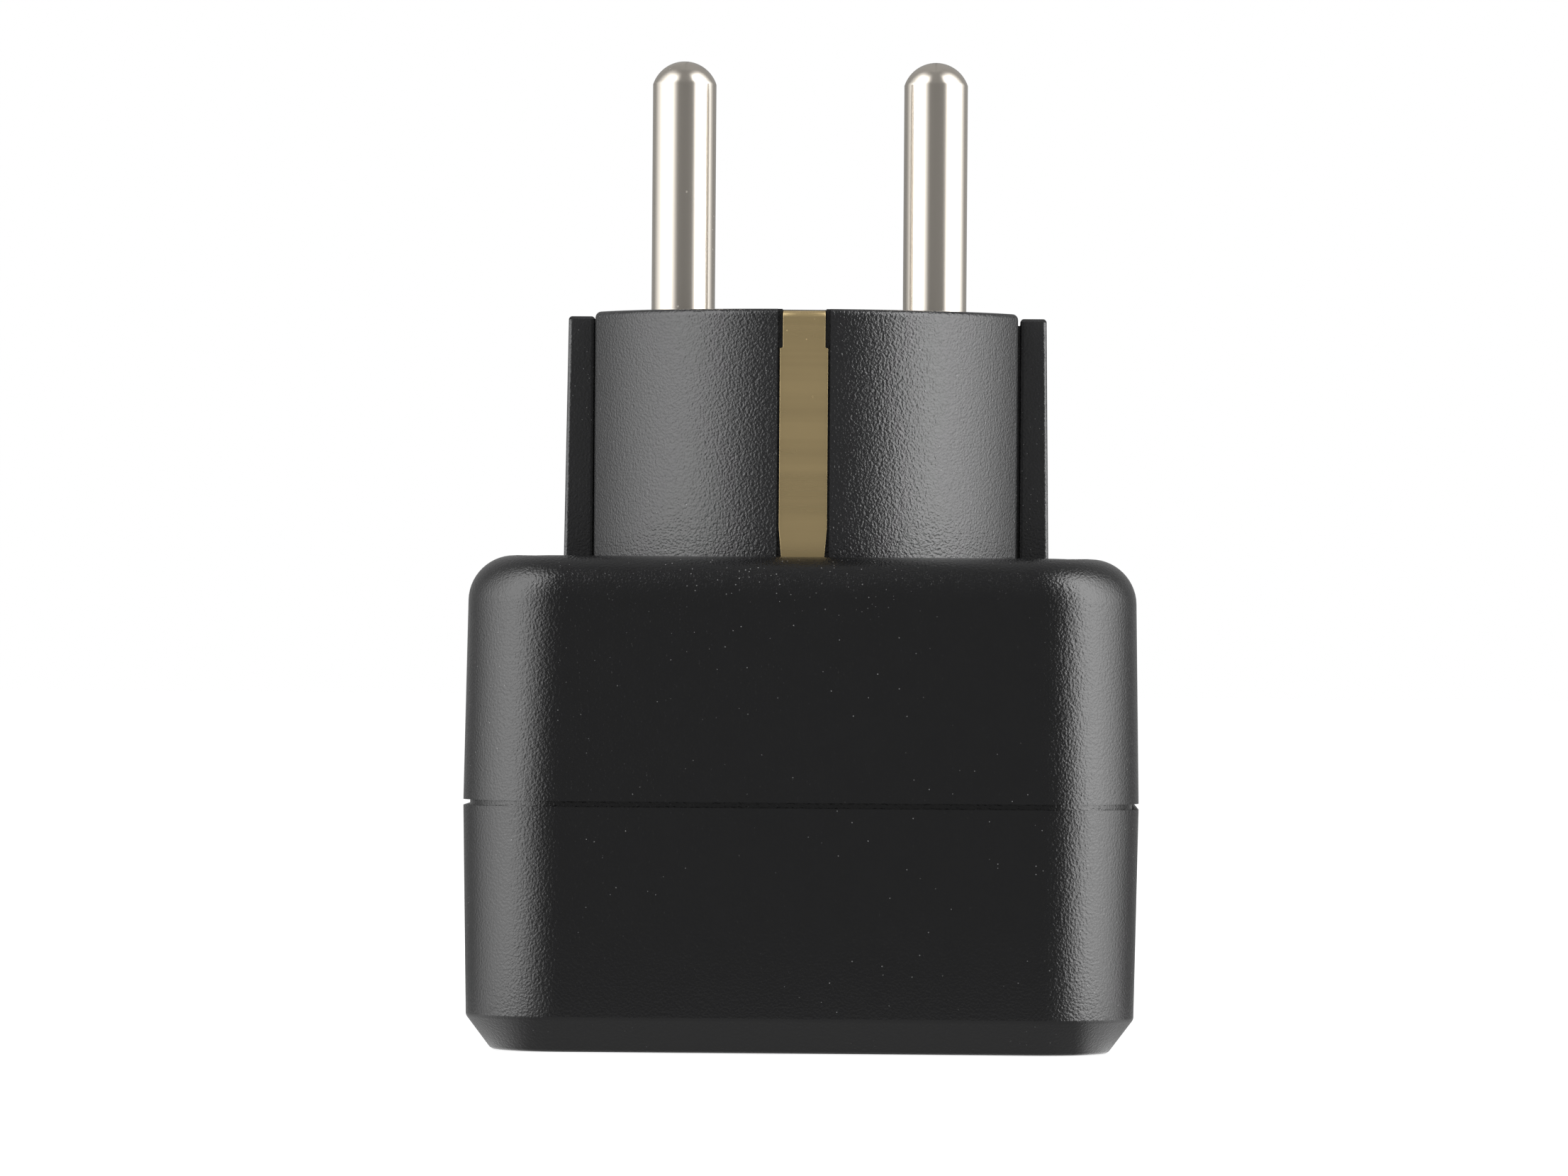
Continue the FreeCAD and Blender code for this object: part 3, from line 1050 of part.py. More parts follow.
def fuse():
    """The fusible resistor, lying along Y."""
    axis = PART_BASE + FUSE_RADIUS
    start = FreeCAD.Vector(FUSE_X, FUSE_LINE - FUSE_LENGTH / 2, axis)
    body = Part.makeCylinder(FUSE_RADIUS, FUSE_LENGTH, start, ALONG_Y)
    rims = [edge for edge in body.Edges if edge.Curve.TypeId == "Part::GeomCircle"]
    return body.makeFillet(CAN_EDGE_RADIUS, rims)


def disc_capacitor():
    """The disc capacitor, standing on edge."""
    axis = PART_BASE + DISC_RADIUS
    body = Part.makeCylinder(DISC_RADIUS, DISC_THICK, FreeCAD.Vector(DISC_START, DISC_LINE, axis), ALONG_X)
    rims = [edge for edge in body.Edges if edge.Curve.TypeId == "Part::GeomCircle"]
    return body.makeFillet(CAN_EDGE_RADIUS, rims)


def board_chip(size, centre):
    """A flat moulded part on the board, with soft upper edges."""
    x, y = centre
    base = PART_BASE
    half_x = size[0] / 2
    half_y = size[1] / 2
    block = box((x - half_x, x + half_x), (y - half_y, y + half_y), (base, base + size[2]))
    return block.makeChamfer(size[2] / 6, edges_on_plane(block, base + size[2]))


def mains_lead(side):
    """The short lead from a busbar's landing down to the board."""
    x = side * (PIN_X + BUSBAR_WIDTH / 2 - LEAD_INSET / 2)
    y = BUSBAR_WIDTH / 2 - LEAD_INSET / 2
    return rod(LEAD_RADIUS, x, y, (PART_BASE, BUSBAR_TOP - BUSBAR_THICK))


def build_parts():
    """Every sub-part by its node's name."""
    parts = {
        "lower_shell": lower_shell(),
        "upper_shell": upper_shell(),
        "case_screws": Part.makeCompound([case_screw(x, y) for x, y in boss_places()]),
        "plug_body": plug_body(),
        "pin_carrier": pin_carrier(),
        "live_pin": plug_pin(-1),
        "neutral_pin": plug_pin(1),
        "earth_strip_front": earth_strip(-1),
        "earth_strip_back": earth_strip(1),
        "earth_bridge": earth_bridge(),
        "earth_sleeve": earth_sleeve(),
        "socket_plate": socket_plate(),
        "shutter": shutter(),
        "shutter_spring": shutter_spring(),
        "live_contact": mains_contact(-1),
        "neutral_contact": mains_contact(1),
        "earth_contact": earth_contact(),
        "live_busbar": mains_busbar(-1),
        "neutral_busbar": mains_busbar(1),
        "earth_busbar": earth_busbar(),
        "contact_cover": contact_cover(),
        "charger_board": charger_board(),
        "transformer_core": transformer_core(),
        "transformer_bobbin": transformer_bobbin(),
        "transformer_winding": transformer_winding(),
        "bulk_capacitor": bulk_capacitor(),
        "bridge_rectifier": board_chip(RECTIFIER_SIZE, (RECTIFIER_X, RECTIFIER_LINE)),
        "control_chip": board_chip(CHIP_SIZE, (CHIP_X, CHIP_LINE)),
        "output_diode": board_chip(DIODE_SIZE, (DIODE_X, DIODE_LINE)),
        "filter_choke": upright_can(CHOKE_RADIUS, CHOKE_HEIGHT, CHOKE_X, CHOKE_LINE),
        "fuse": fuse(),
        "disc_capacitor": disc_capacitor(),
        "live_lead": mains_lead(-1),
        "neutral_lead": mains_lead(1),
    }
    for name, side in (("left", -1), ("right", 1)):
        parts["port_shell_" + name] = port_shell(side)
        parts["port_tongue_" + name] = port_tongue(side)
        parts["port_fingers_" + name] = port_fingers(side)
        can = upright_can(OUTPUT_RADIUS, OUTPUT_HEIGHT, side * OUTPUT_X, OUTPUT_LINE)
        parts["output_capacitor_" + name] = can
    return parts


os.makedirs("parts", exist_ok=True)
for node, shape in build_parts().items():
    shape.exportStep("parts/" + node + ".step")
    box_size = shape.BoundBox
    lows = [round(value, 2) for value in (box_size.XMin, box_size.YMin, box_size.ZMin)]
    highs = [round(value, 2) for value in (box_size.XMax, box_size.YMax, box_size.ZMax)]
    print(node, "valid:", shape.isValid(), "solids:", len(shape.Solids), "from", lows, "to", highs)
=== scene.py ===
import json
import math

import bmesh
import bpy
from mathutils import Matrix, Vector


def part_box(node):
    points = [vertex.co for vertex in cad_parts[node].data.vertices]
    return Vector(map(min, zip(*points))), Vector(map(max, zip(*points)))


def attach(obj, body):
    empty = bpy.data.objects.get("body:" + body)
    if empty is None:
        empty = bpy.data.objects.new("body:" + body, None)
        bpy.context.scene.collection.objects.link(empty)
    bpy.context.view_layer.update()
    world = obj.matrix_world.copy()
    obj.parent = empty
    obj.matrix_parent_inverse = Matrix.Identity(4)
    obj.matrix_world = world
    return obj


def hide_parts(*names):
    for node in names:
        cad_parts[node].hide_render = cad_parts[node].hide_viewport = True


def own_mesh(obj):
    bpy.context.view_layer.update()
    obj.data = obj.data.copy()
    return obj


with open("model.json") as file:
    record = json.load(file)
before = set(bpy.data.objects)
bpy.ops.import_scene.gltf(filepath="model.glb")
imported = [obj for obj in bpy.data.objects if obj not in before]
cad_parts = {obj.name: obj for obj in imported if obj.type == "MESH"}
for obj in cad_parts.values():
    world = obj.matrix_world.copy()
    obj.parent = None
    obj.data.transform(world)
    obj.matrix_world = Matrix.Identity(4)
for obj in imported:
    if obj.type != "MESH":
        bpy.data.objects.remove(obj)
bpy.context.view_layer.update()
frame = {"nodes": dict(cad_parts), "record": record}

bl_info = {
    "name": "Travel plug adapter",
    "version": (1, 0, 0),
    "blender": (4, 5, 0),
    "location": "View3D > Sidebar > Adapter",
    "description": "Models and finishes a travel plug adapter piece by piece",
    "category": "Object",
}

# PAST is how far a cutter reaches past a face, NEAR how near counts as the same height, PLAY the gap between
# two parts that meet, and LEDGE the height of a step that is all but level
MM = 0.001
SIDES = (-1, 1)
PAST = 1 * MM
NEAR = 0.01 * MM
PLAY = 0.1 * MM
LEDGE = 0.02 * MM


# Sizes and colours that can be changed


def number(name, description, default, **more):
    """A value, with a unit or limits where these are given."""
    return bpy.props.FloatProperty(name=name, description=description, default=default, **more)


def length(name, description, default):
    """A length in metres, given in millimetres and shown in the scene's unit."""
    return number(name, description, default * MM, min=0.0, soft_max=0.1, precision=5, unit="LENGTH",
                  subtype="DISTANCE")


def colour(name, description, default):
    """A surface colour, linear."""
    return bpy.props.FloatVectorProperty(
        name=name, description=description, default=default, size=3, min=0.0, max=1.0, subtype="COLOR")


def turn(name, description, degrees):
    """An angle, given in degrees and kept in radians."""
    return number(name, description, math.radians(degrees), subtype="ANGLE")


def watts(name, description, default):
    """A lamp's power."""
    return number(name, description, default, min=0.0, subtype="POWER")


def factor(name, description, default):
    """A plain factor."""
    return number(name, description, default, min=0.0, subtype="FACTOR")


class AdapterSizes(bpy.types.PropertyGroup):
    """Sizes of the pieces that show."""

    half_width: length("Half width", "Half of the housing's width at the seam", 24.92)
    half_depth: length("Half depth", "Half of the housing's depth at the seam", 25.0)
    corner_radius: length("Corner radius", "Radius of the housing's upright corners", 7.5)
    shoulder_radius: length("Shoulder radius", "Radius of the upper housing's top edge", 3.3)
    wall: length("Wall", "Wall thickness of both housings", 2.0)
    face: length("Face", "Thickness of the lower housing's face", 2.6)
    bevel_height: length("Bevel height", "Height of the bevel round the lower face", 2.5)
    bevel_width: length("Bevel width", "Width of the bevel round the lower face", 1.85)
    seam_bottom: length("Seam bottom", "Height at which the lower housing ends", 18.0)
    seam_top: length("Seam top", "Height at which the upper housing starts", 18.42)
    seam_depth: length("Seam depth", "Depth of the shadow groove between the housings", 0.5)
    edge_softness: length("Edge softness", "Rounding of the moulded edges", 0.12)
    lower_draft: turn("Lower draft", "Draft of the lower housing's sides", 1.0)
    upper_draft: turn("Upper draft", "Draft of the upper housing's sides", 1.0)
    plug_radius: length("Plug radius", "Radius of the round plug body", 17.75)
    plug_flat: length("Plug flat", "Distance of the plug's flats from its middle", 15.8)
    plug_edge: length("Plug edge", "Rounding of the plug's rim", 0.45)
    pin_radius: length("Pin radius", "Radius of the plug pins", 2.4)
    pin_offset: length("Pin offset", "Distance of each pin from the middle", 9.5)
    strap_width: length("Strap width", "Width of the earth straps", 3.57)
    strap_tab: length("Strap tab", "Width of the tab at a strap's end", 3.15)
    groove_width: length("Groove width", "Width of the strap's groove", 3.9)


class AdapterColours(bpy.types.PropertyGroup):
    """Colours of the finishes that show."""

    shell: colour("Housing", "Moulded plastic of the housing", (0.0065, 0.0065, 0.007))
    plug: colour("Plug", "Moulded plastic of the plug", (0.016, 0.0162, 0.0172))
    nickel: colour("Nickel", "Plated pins", (0.66, 0.61, 0.54))
    brass: colour("Brass", "Earth straps", (0.64, 0.49, 0.25))
    floor: colour("Floor", "Floor and backdrop", (0.45, 0.45, 0.45))


class StudioSettings(bpy.types.PropertyGroup):
    """Camera and lamps."""

    lens: number("Lens", "Focal length in millimetres", 227.89)
    distance: length("Distance", "Camera's distance from the adapter's middle", 750.0)
    camera_height: length("Camera height", "Camera's height over the floor", 30.96)
    azimuth: turn("Azimuth", "Turn of the camera about the adapter", 1.215)
    pitch: turn("Pitch", "Tilt of the camera upwards", 0.249)
    roll: turn("Roll", "Turn of the picture", 0.416)
    aim: length("Aim", "How far the view's middle lies left of the adapter's", 1.724)
    fill: watts("Fill", "Power of each lamp for diffuse light", 7.5)
    left_shine: factor("Left shine", "Brightness of the left lamp in reflections", 3.8)
    right_shine: factor("Right shine", "Brightness of the right lamp in reflections", 5.75)
    dim: factor("Dim", "Brightness of the tent between the lamps in reflections", 0.22)


def sizes():
    """The sizes as they are set in the scene."""
    return bpy.context.scene.adapter_sizes


def colours():
    """The colours as they are set in the scene."""
    return bpy.context.scene.adapter_colours


# Helpers that model with Blender's own tools


def deselect():
    """Leaves edit mode and deselects everything."""
    if bpy.context.object and bpy.context.object.mode != "OBJECT":
        bpy.ops.object.mode_set(mode="OBJECT")
    bpy.ops.object.select_all(action="DESELECT")


def activate(piece):
    """Selects one piece alone and makes it the active one."""
    deselect()
    piece.select_set(True)
    bpy.context.view_layer.objects.active = piece


def settle(piece):
    """Moves a piece's place, turn and scale into its mesh."""
    activate(piece)
    bpy.ops.object.transform_apply(location=True, rotation=True, scale=True)
    return piece


def open_mesh(piece):
    """Goes into edit mode with all of a piece selected."""
    activate(piece)
    bpy.ops.object.mode_set(mode="EDIT")
    bpy.ops.mesh.select_all(action="SELECT")


def extrude(x=0, y=0, z=0):
    """Draws the selected faces out by an amount along each axis."""
    bpy.ops.mesh.extrude_region_move(TRANSFORM_OT_translate={"value": (x, y, z)})


def resize(x, y, centre):
    """Scales what is selected along X and Y about a place."""
    bpy.ops.transform.resize(value=(x, y, 1), center_override=centre)


def block(name, xs, ys, zs):
    """A block between two planes along each axis, given in either order."""
    deselect()
    centre = [(pair[0] + pair[1]) / 2 for pair in (xs, ys, zs)]
    bpy.ops.mesh.primitive_cube_add(size=1, location=centre)
    piece = bpy.context.object
    piece.name = name
    piece.scale = [abs(pair[1] - pair[0]) for pair in (xs, ys, zs)]
    return settle(piece)


def post(name, radius, x, y, zs, sides=96):
    """An upright cylinder."""
    deselect()
    bpy.ops.mesh.primitive_cylinder_add(
        vertices=sides, radius=radius, depth=abs(zs[1] - zs[0]), location=(x, y, (zs[0] + zs[1]) / 2))
    piece = bpy.context.object
    piece.name = name
    return settle(piece)


def turned(name, x, y, rings, sides=96):
    """A lathe-turned piece about an upright axis, drawn upwards ring by ring from (radius, height) pairs."""
    deselect()
    radius, z = rings[0]
    bpy.ops.mesh.primitive_circle_add(vertices=sides, radius=radius, location=(x, y, z), fill_type="NGON")
    piece = bpy.context.object
    piece.name = name
    open_mesh(piece)
    for wide, high in rings[1:]:
        extrude(z=high - z)
        resize(wide / radius, wide / radius, (x, y, high))
        radius, z = wide, high
    bpy.ops.mesh.select_all(action="SELECT")
    bpy.ops.mesh.normals_make_consistent(inside=False)
    bpy.ops.object.mode_set(mode="OBJECT")
    return settle(piece)


def pick(piece, kind, test):
    """Selects the edges or faces of a piece that pass a test, and goes into edit mode on them."""
    activate(piece)
    bpy.ops.object.mode_set(mode="EDIT")
    bpy.ops.mesh.select_mode(type="EDGE" if kind == "edges" else "FACE")
    bpy.ops.mesh.select_all(action="DESELECT")
    mesh = bmesh.from_edit_mesh(piece.data)
    count = 0
    for element in getattr(mesh, kind):
        if test(element):
            element.select_set(True)
            count += 1
    mesh.select_flush_mode()
    bmesh.update_edit_mesh(piece.data)
    if not count:
        raise RuntimeError(piece.name + ": nothing to shape was found")
    return count


def done(piece):
    """Leaves edit mode."""
    bpy.ops.object.mode_set(mode="OBJECT")
    return piece


def upright(edge):
    """Whether an edge runs upwards."""
    a, b = (vertex.co for vertex in edge.verts)
    return abs(a.z - b.z) > 0.9 * (a - b).length


def level(element, z):
    """Whether all of an edge or face lies at one height."""
    return all(abs(vertex.co.z - z) < NEAR for vertex in element.verts)


def in_plane(element, y):
    """Whether all of an edge or face lies at one depth."""
    return all(abs(vertex.co.y - y) < NEAR for vertex in element.verts)


def round_edges(piece, test, radius, segments):
    """Rounds the chosen edges."""
    pick(piece, "edges", test)
    bpy.ops.mesh.bevel(offset=radius, segments=segments, affect="EDGES", clamp_overlap=False)
    return done(piece)


def use_modifier(piece, kind, **settings):
    """Adds a modifier, sets it and applies it."""
    activate(piece)
    modifier = piece.modifiers.new(kind.title(), kind)
    for name, value in settings.items():
        setattr(modifier, name, value)
    bpy.ops.object.modifier_apply(modifier=modifier.name)
    return piece


def combine(piece, others, operation):
    """Joins others to a piece, or takes them away, and removes them."""
    for other in others:
        use_modifier(piece, "BOOLEAN", operation=operation, object=other, solver="EXACT")
        bpy.data.objects.remove(other)
    return piece


def soften(piece, width, clamp):
    """Rounds every sharp edge of a piece a little, and may stop where two roundings would meet."""
    return use_modifier(piece, "BEVEL", width=width, segments=2, limit_method="ANGLE",
                        angle_limit=math.radians(40), miter_outer="MITER_ARC", use_clamp_overlap=clamp)


def smooth(piece, angle):
    """Shades a piece smoothly where its faces meet at less than an angle."""
    activate(piece)
    bpy.ops.object.shade_smooth_by_angle(angle=math.radians(angle))
    return piece


def finish_piece(piece, slot, body, *nodes):
    """Gives a piece its material, lets it ride on a body and stand for its nodes."""
    piece.data.materials.clear()
    piece.data.materials.append(finish_for(slot))
    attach(piece, body)
    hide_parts(*nodes)


# Shared surface effects and the finishes made with them


def wire(tree, kind, inputs=(), **settings):
    """Adds a shader node, sets it, and fills its inputs with values or with other nodes' outputs."""
    node = tree.nodes.new(kind)
    for name, value in settings.items():
        setattr(node, name, value)
    for name, value in dict(inputs).items():
        if isinstance(value, bpy.types.NodeSocket):
            tree.links.new(value, node.inputs[name])
        else:
            node.inputs[name].default_value = value
    return node


def effect(name, sockets, outputs):
    """An empty node group with a pattern's coordinates, named values and named outputs."""
    group = bpy.data.node_groups.new(name, "ShaderNodeTree")
    group.interface.new_socket("Vector", in_out="INPUT", socket_type="NodeSocketVector")
    for label, value in sockets.items():
        socket = group.interface.new_socket(label, in_out="INPUT", socket_type="NodeSocketFloat")
        socket.default_value = value
    for label in outputs:
        group.interface.new_socket(label, in_out="OUTPUT", socket_type="NodeSocketFloat")
    start = group.nodes.new("NodeGroupInput")
    end = group.nodes.new("NodeGroupOutput")
    return group, start.outputs, end.inputs


def ramp(tree, source, low, high, out_low=0.0, out_high=1.0, curve="LINEAR"):
    """Maps a range of values to another, without going past its ends."""
    inputs = {"Value": source, "From Min": low, "From Max": high, "To Min": out_low, "To Max": out_high}
    return wire(tree, "ShaderNodeMapRange", inputs, clamp=True, interpolation_type=curve).outputs["Result"]


def noise(tree, vector, scale, detail=2.0, roughness=0.5):
    """A noise value over the surface."""
    inputs = {"Vector": vector, "Scale": scale, "Detail": detail, "Roughness": roughness}
    return wire(tree, "ShaderNodeTexNoise", inputs).outputs["Fac"]


def calculate(tree, operation, first, second):
    """Two values put together."""
    return wire(tree, "ShaderNodeMath", {0: first, 1: second}, operation=operation).outputs[0]


def moulded_grain():
    """Fine spark-eroded grain with a slow unevenness, as a mould leaves it."""
    group, start, end = effect("Moulded grain", {"Scale": 3000.0, "Unevenness": 0.3}, ["Height", "Gloss"])
    fine = noise(group, start["Vector"], start["Scale"], 1.5)
    slow_scale = calculate(group, "MULTIPLY", start["Scale"], 0.12)
    slow = noise(group, start["Vector"], slow_scale)
    lift = calculate(group, "MULTIPLY", slow, start["Unevenness"])
    group.links.new(calculate(group, "ADD", fine, lift), end["Height"])
    group.links.new(ramp(group, slow, 0.3, 0.7), end["Gloss"])
    return group


def dust_specks():
    """Small pale specks, scattered unevenly."""
    group, start, end = effect("Dust specks", {"Scale": 1800.0, "Size": 0.08, "Amount": 0.5}, ["Mask"])
    cells = wire(group, "ShaderNodeTexVoronoi", {"Vector": start["Vector"], "Scale": start["Scale"]})
    near = calculate(group, "LESS_THAN", cells.outputs["Distance"], start["Size"])
    lot = wire(group, "ShaderNodeSeparateColor", {"Color": cells.outputs["Color"]}).outputs[0]
    chosen = calculate(group, "LESS_THAN", lot, start["Amount"])
    patches = ramp(group, noise(group, start["Vector"], 60.0), 0.42, 0.6)
    mask = calculate(group, "MULTIPLY", near, chosen)
    group.links.new(calculate(group, "MULTIPLY", mask, patches), end["Mask"])
    return group


def drawn_lines():
    """Fine lines, which run along the axis whose coordinates are stretched."""
    group, start, end = effect("Drawn lines", {"Scale": 2500.0}, ["Height", "Mask"])
    fine = noise(group, start["Vector"], start["Scale"], 4.0, 0.65)
    broad_scale = calculate(group, "MULTIPLY", start["Scale"], 0.25)
    broad = noise(group, start["Vector"], broad_scale)
    group.links.new(calculate(group, "ADD", fine, broad), end["Height"])
    group.links.new(ramp(group, broad, 0.4, 0.62), end["Mask"])
    return group


# Directions in degrees, from straight ahead of a near corner round to the back: where a lamp's glow starts,
# peaks and ends, and where the brighter rear starts and is full
LAMP_SPREAD = (18, 58, 136, 90, 150)
RIGHT_LATER = math.radians(12)
REAR_GAIN = 1.5
CORNER_PLACE = 18 * MM
SIDE_BLEND = 10 * MM


def soft_lamps():
    """The glow of a big soft lamp at the left and one at the right of the camera, by the direction from the
    adapter's near corner, and the dim light all round."""
    group, start, end = effect("Soft lamps", {"Left": 1.0, "Right": 1.0, "Dim": 1.0}, ["Shine", "Round"])
    axes = wire(group, "ShaderNodeSeparateXYZ", {"Vector": start["Vector"]}).outputs
    first, peak, last, rear_start, rear_full = (math.radians(degrees) for degrees in LAMP_SPREAD)
    past_side = calculate(group, "SUBTRACT", calculate(group, "ABSOLUTE", axes["X"], 0.0), CORNER_PLACE)
    past_front = calculate(group, "SUBTRACT", calculate(group, "MULTIPLY", axes["Y"], -1.0), CORNER_PLACE)
    direction = calculate(group, "ARCTAN2", past_side, past_front)
    side = ramp(group, axes["X"], -SIDE_BLEND, SIDE_BLEND)
    inner = ramp(group, side, 0.0, 1.0, first, first + RIGHT_LATER)
    rise = ramp(group, direction, inner, peak, 0.0, 1.0, "SMOOTHSTEP")
    fall = ramp(group, direction, peak, last, 1.0, 0.0, "SMOOTHSTEP")
    power = ramp(group, side, 0.0, 1.0, start["Left"], start["Right"])
    shine = calculate(group, "MULTIPLY", calculate(group, "MULTIPLY", rise, fall), power)
    group.links.new(shine, end["Shine"])
    rear = calculate(group, "MULTIPLY", start["Dim"], REAR_GAIN)
    group.links.new(ramp(group, direction, rear_start, rear_full, start["Dim"], rear), end["Round"])
    return group


EFFECTS = {}
FINISHES = {}


def shared(maker):
    """A shared effect, built the first time that it is asked for."""
    if maker not in EFFECTS:
        EFFECTS[maker] = maker()
    return EFFECTS[maker]


def place_effect(tree, maker, vector, **values):
    """Puts a shared effect into a material with its own values."""
    node = wire(tree, "ShaderNodeGroup", node_tree=shared(maker))
    tree.links.new(vector, node.inputs["Vector"])
    for name, value in values.items():
        node.inputs[name].default_value = value
    return node.outputs


def new_material(name):
    """A new material, with its node tree and its one Principled shader."""
    material = bpy.data.materials.new(name)
    material.use_nodes = True
    return material, material.node_tree, material.node_tree.nodes["Principled BSDF"]


def start_finish(slot, colour_value, roughness, metallic=0.0, **more):
    """A material with its first values set, and the object's coordinates for its patterns."""
    material, tree, shader = new_material(slot.replace("_", " ").capitalize())
    shader.inputs["Base Color"].default_value = (*colour_value, 1.0)
    shader.inputs["Roughness"].default_value = roughness
    shader.inputs["Metallic"].default_value = metallic
    for name, value in more.items():
        shader.inputs[name.replace("_", " ")].default_value = value
    vector = wire(tree, "ShaderNodeTexCoord").outputs["Object"]
    return material, tree, shader, vector


def blend_colour(tree, mask, first, second):
    """A colour between two, by a mask. Each colour is three values or another node's output."""
    node = tree.nodes.new("ShaderNodeMix")
    node.data_type = "RGBA"
    tree.links.new(mask, node.inputs[0])
    for socket, value in ((node.inputs[6], first), (node.inputs[7], second)):
        if isinstance(value, bpy.types.NodeSocket):
            tree.links.new(value, socket)
        else:
            socket.default_value = (*value, 1.0)
    return node.outputs[2]


def bump(tree, shader, height, distance):
    """Raises the surface by a height, in metres for a height of one."""
    inputs = {"Height": height, "Distance": distance, "Strength": 1.0}
    tree.links.new(wire(tree, "ShaderNodeBump", inputs).outputs["Normal"], shader.inputs["Normal"])


def moulded_finish(slot, base, roughness, grain_scale, grain_depth, unevenness=0.3, dust=0.25, fine=1.0,
                   settled=None):
    """Moulded plastic with spark-eroded grain, slight changes in gloss and specks of dust. More dust lies
    between two heights where these are given, and finer specks are also closer together."""
    material, tree, shader, vector = start_finish(slot, base, roughness, IOR=1.58)
    grain = place_effect(tree, moulded_grain, vector, Scale=grain_scale, Unevenness=unevenness)
    specks = place_effect(tree, dust_specks, vector, Scale=1800.0 * fine, Amount=dust)["Mask"]
    if settled:
        more = place_effect(tree, dust_specks, vector, Scale=2100.0 * fine, Size=0.1, Amount=0.7)["Mask"]
        height = wire(tree, "ShaderNodeSeparateXYZ", {"Vector": vector}).outputs["Z"]
        more = calculate(tree, "MULTIPLY", more, ramp(tree, height, *settled))
        specks = calculate(tree, "MAXIMUM", specks, more)
    lighter = tuple(min(1.0, part * 1.08) for part in base)
    pale = tuple(min(1.0, part + 0.25) for part in base)
    tint = blend_colour(tree, specks, blend_colour(tree, grain["Gloss"], base, lighter), pale)
    tree.links.new(tint, shader.inputs["Base Color"])
    spread = ramp(tree, grain["Gloss"], 0.0, 1.0, roughness - 0.01, roughness + 0.01)
    tree.links.new(spread, shader.inputs["Roughness"])
    bump(tree, shader, grain["Height"], grain_depth)
    return material


def drawn_finish(slot, base, roughness, stretch, line_scale, depth, metallic=1.0, spread=0.06):
    """Metal with fine lines from drawing, rolling or brushing, and small pits."""
    material, tree, shader, vector = start_finish(slot, base, roughness, metallic=metallic)
    stretched = wire(tree, "ShaderNodeMapping", {"Vector": vector, "Scale": stretch}).outputs["Vector"]
    lines = place_effect(tree, drawn_lines, stretched, Scale=line_scale)
    pits = place_effect(tree, dust_specks, vector, Scale=1500.0, Size=0.12, Amount=0.3)
    darker = tuple(part * 0.82 for part in base)
    tree.links.new(blend_colour(tree, lines["Mask"], base, darker), shader.inputs["Base Color"])
    rough = ramp(tree, lines["Mask"], 0.0, 1.0, roughness, roughness + spread)
    rough = calculate(tree, "ADD", rough, calculate(tree, "MULTIPLY", pits["Mask"], 0.25))
    tree.links.new(rough, shader.inputs["Roughness"])
    height = calculate(tree, "SUBTRACT", lines["Height"], calculate(tree, "MULTIPLY", pits["Mask"], 2.0))
    bump(tree, shader, height, depth)
    return material


def coated_finish(slot, base, roughness, mottle_scale, mottle_depth, coat=0.0):
    """Lacquer, sleeve, laminate or sintered stuff: a mottled colour and a soft unevenness."""
    coating = {"Coat_Weight": coat, "Coat_Roughness": 0.15}
    material, tree, shader, vector = start_finish(slot, base, roughness, **coating)
    grain = place_effect(tree, moulded_grain, vector, Scale=mottle_scale, Unevenness=1.0)
    darker = tuple(part * 0.75 for part in base)
    tree.links.new(blend_colour(tree, grain["Gloss"], base, darker), shader.inputs["Base Color"])
    bump(tree, shader, grain["Height"], mottle_depth)
    return material


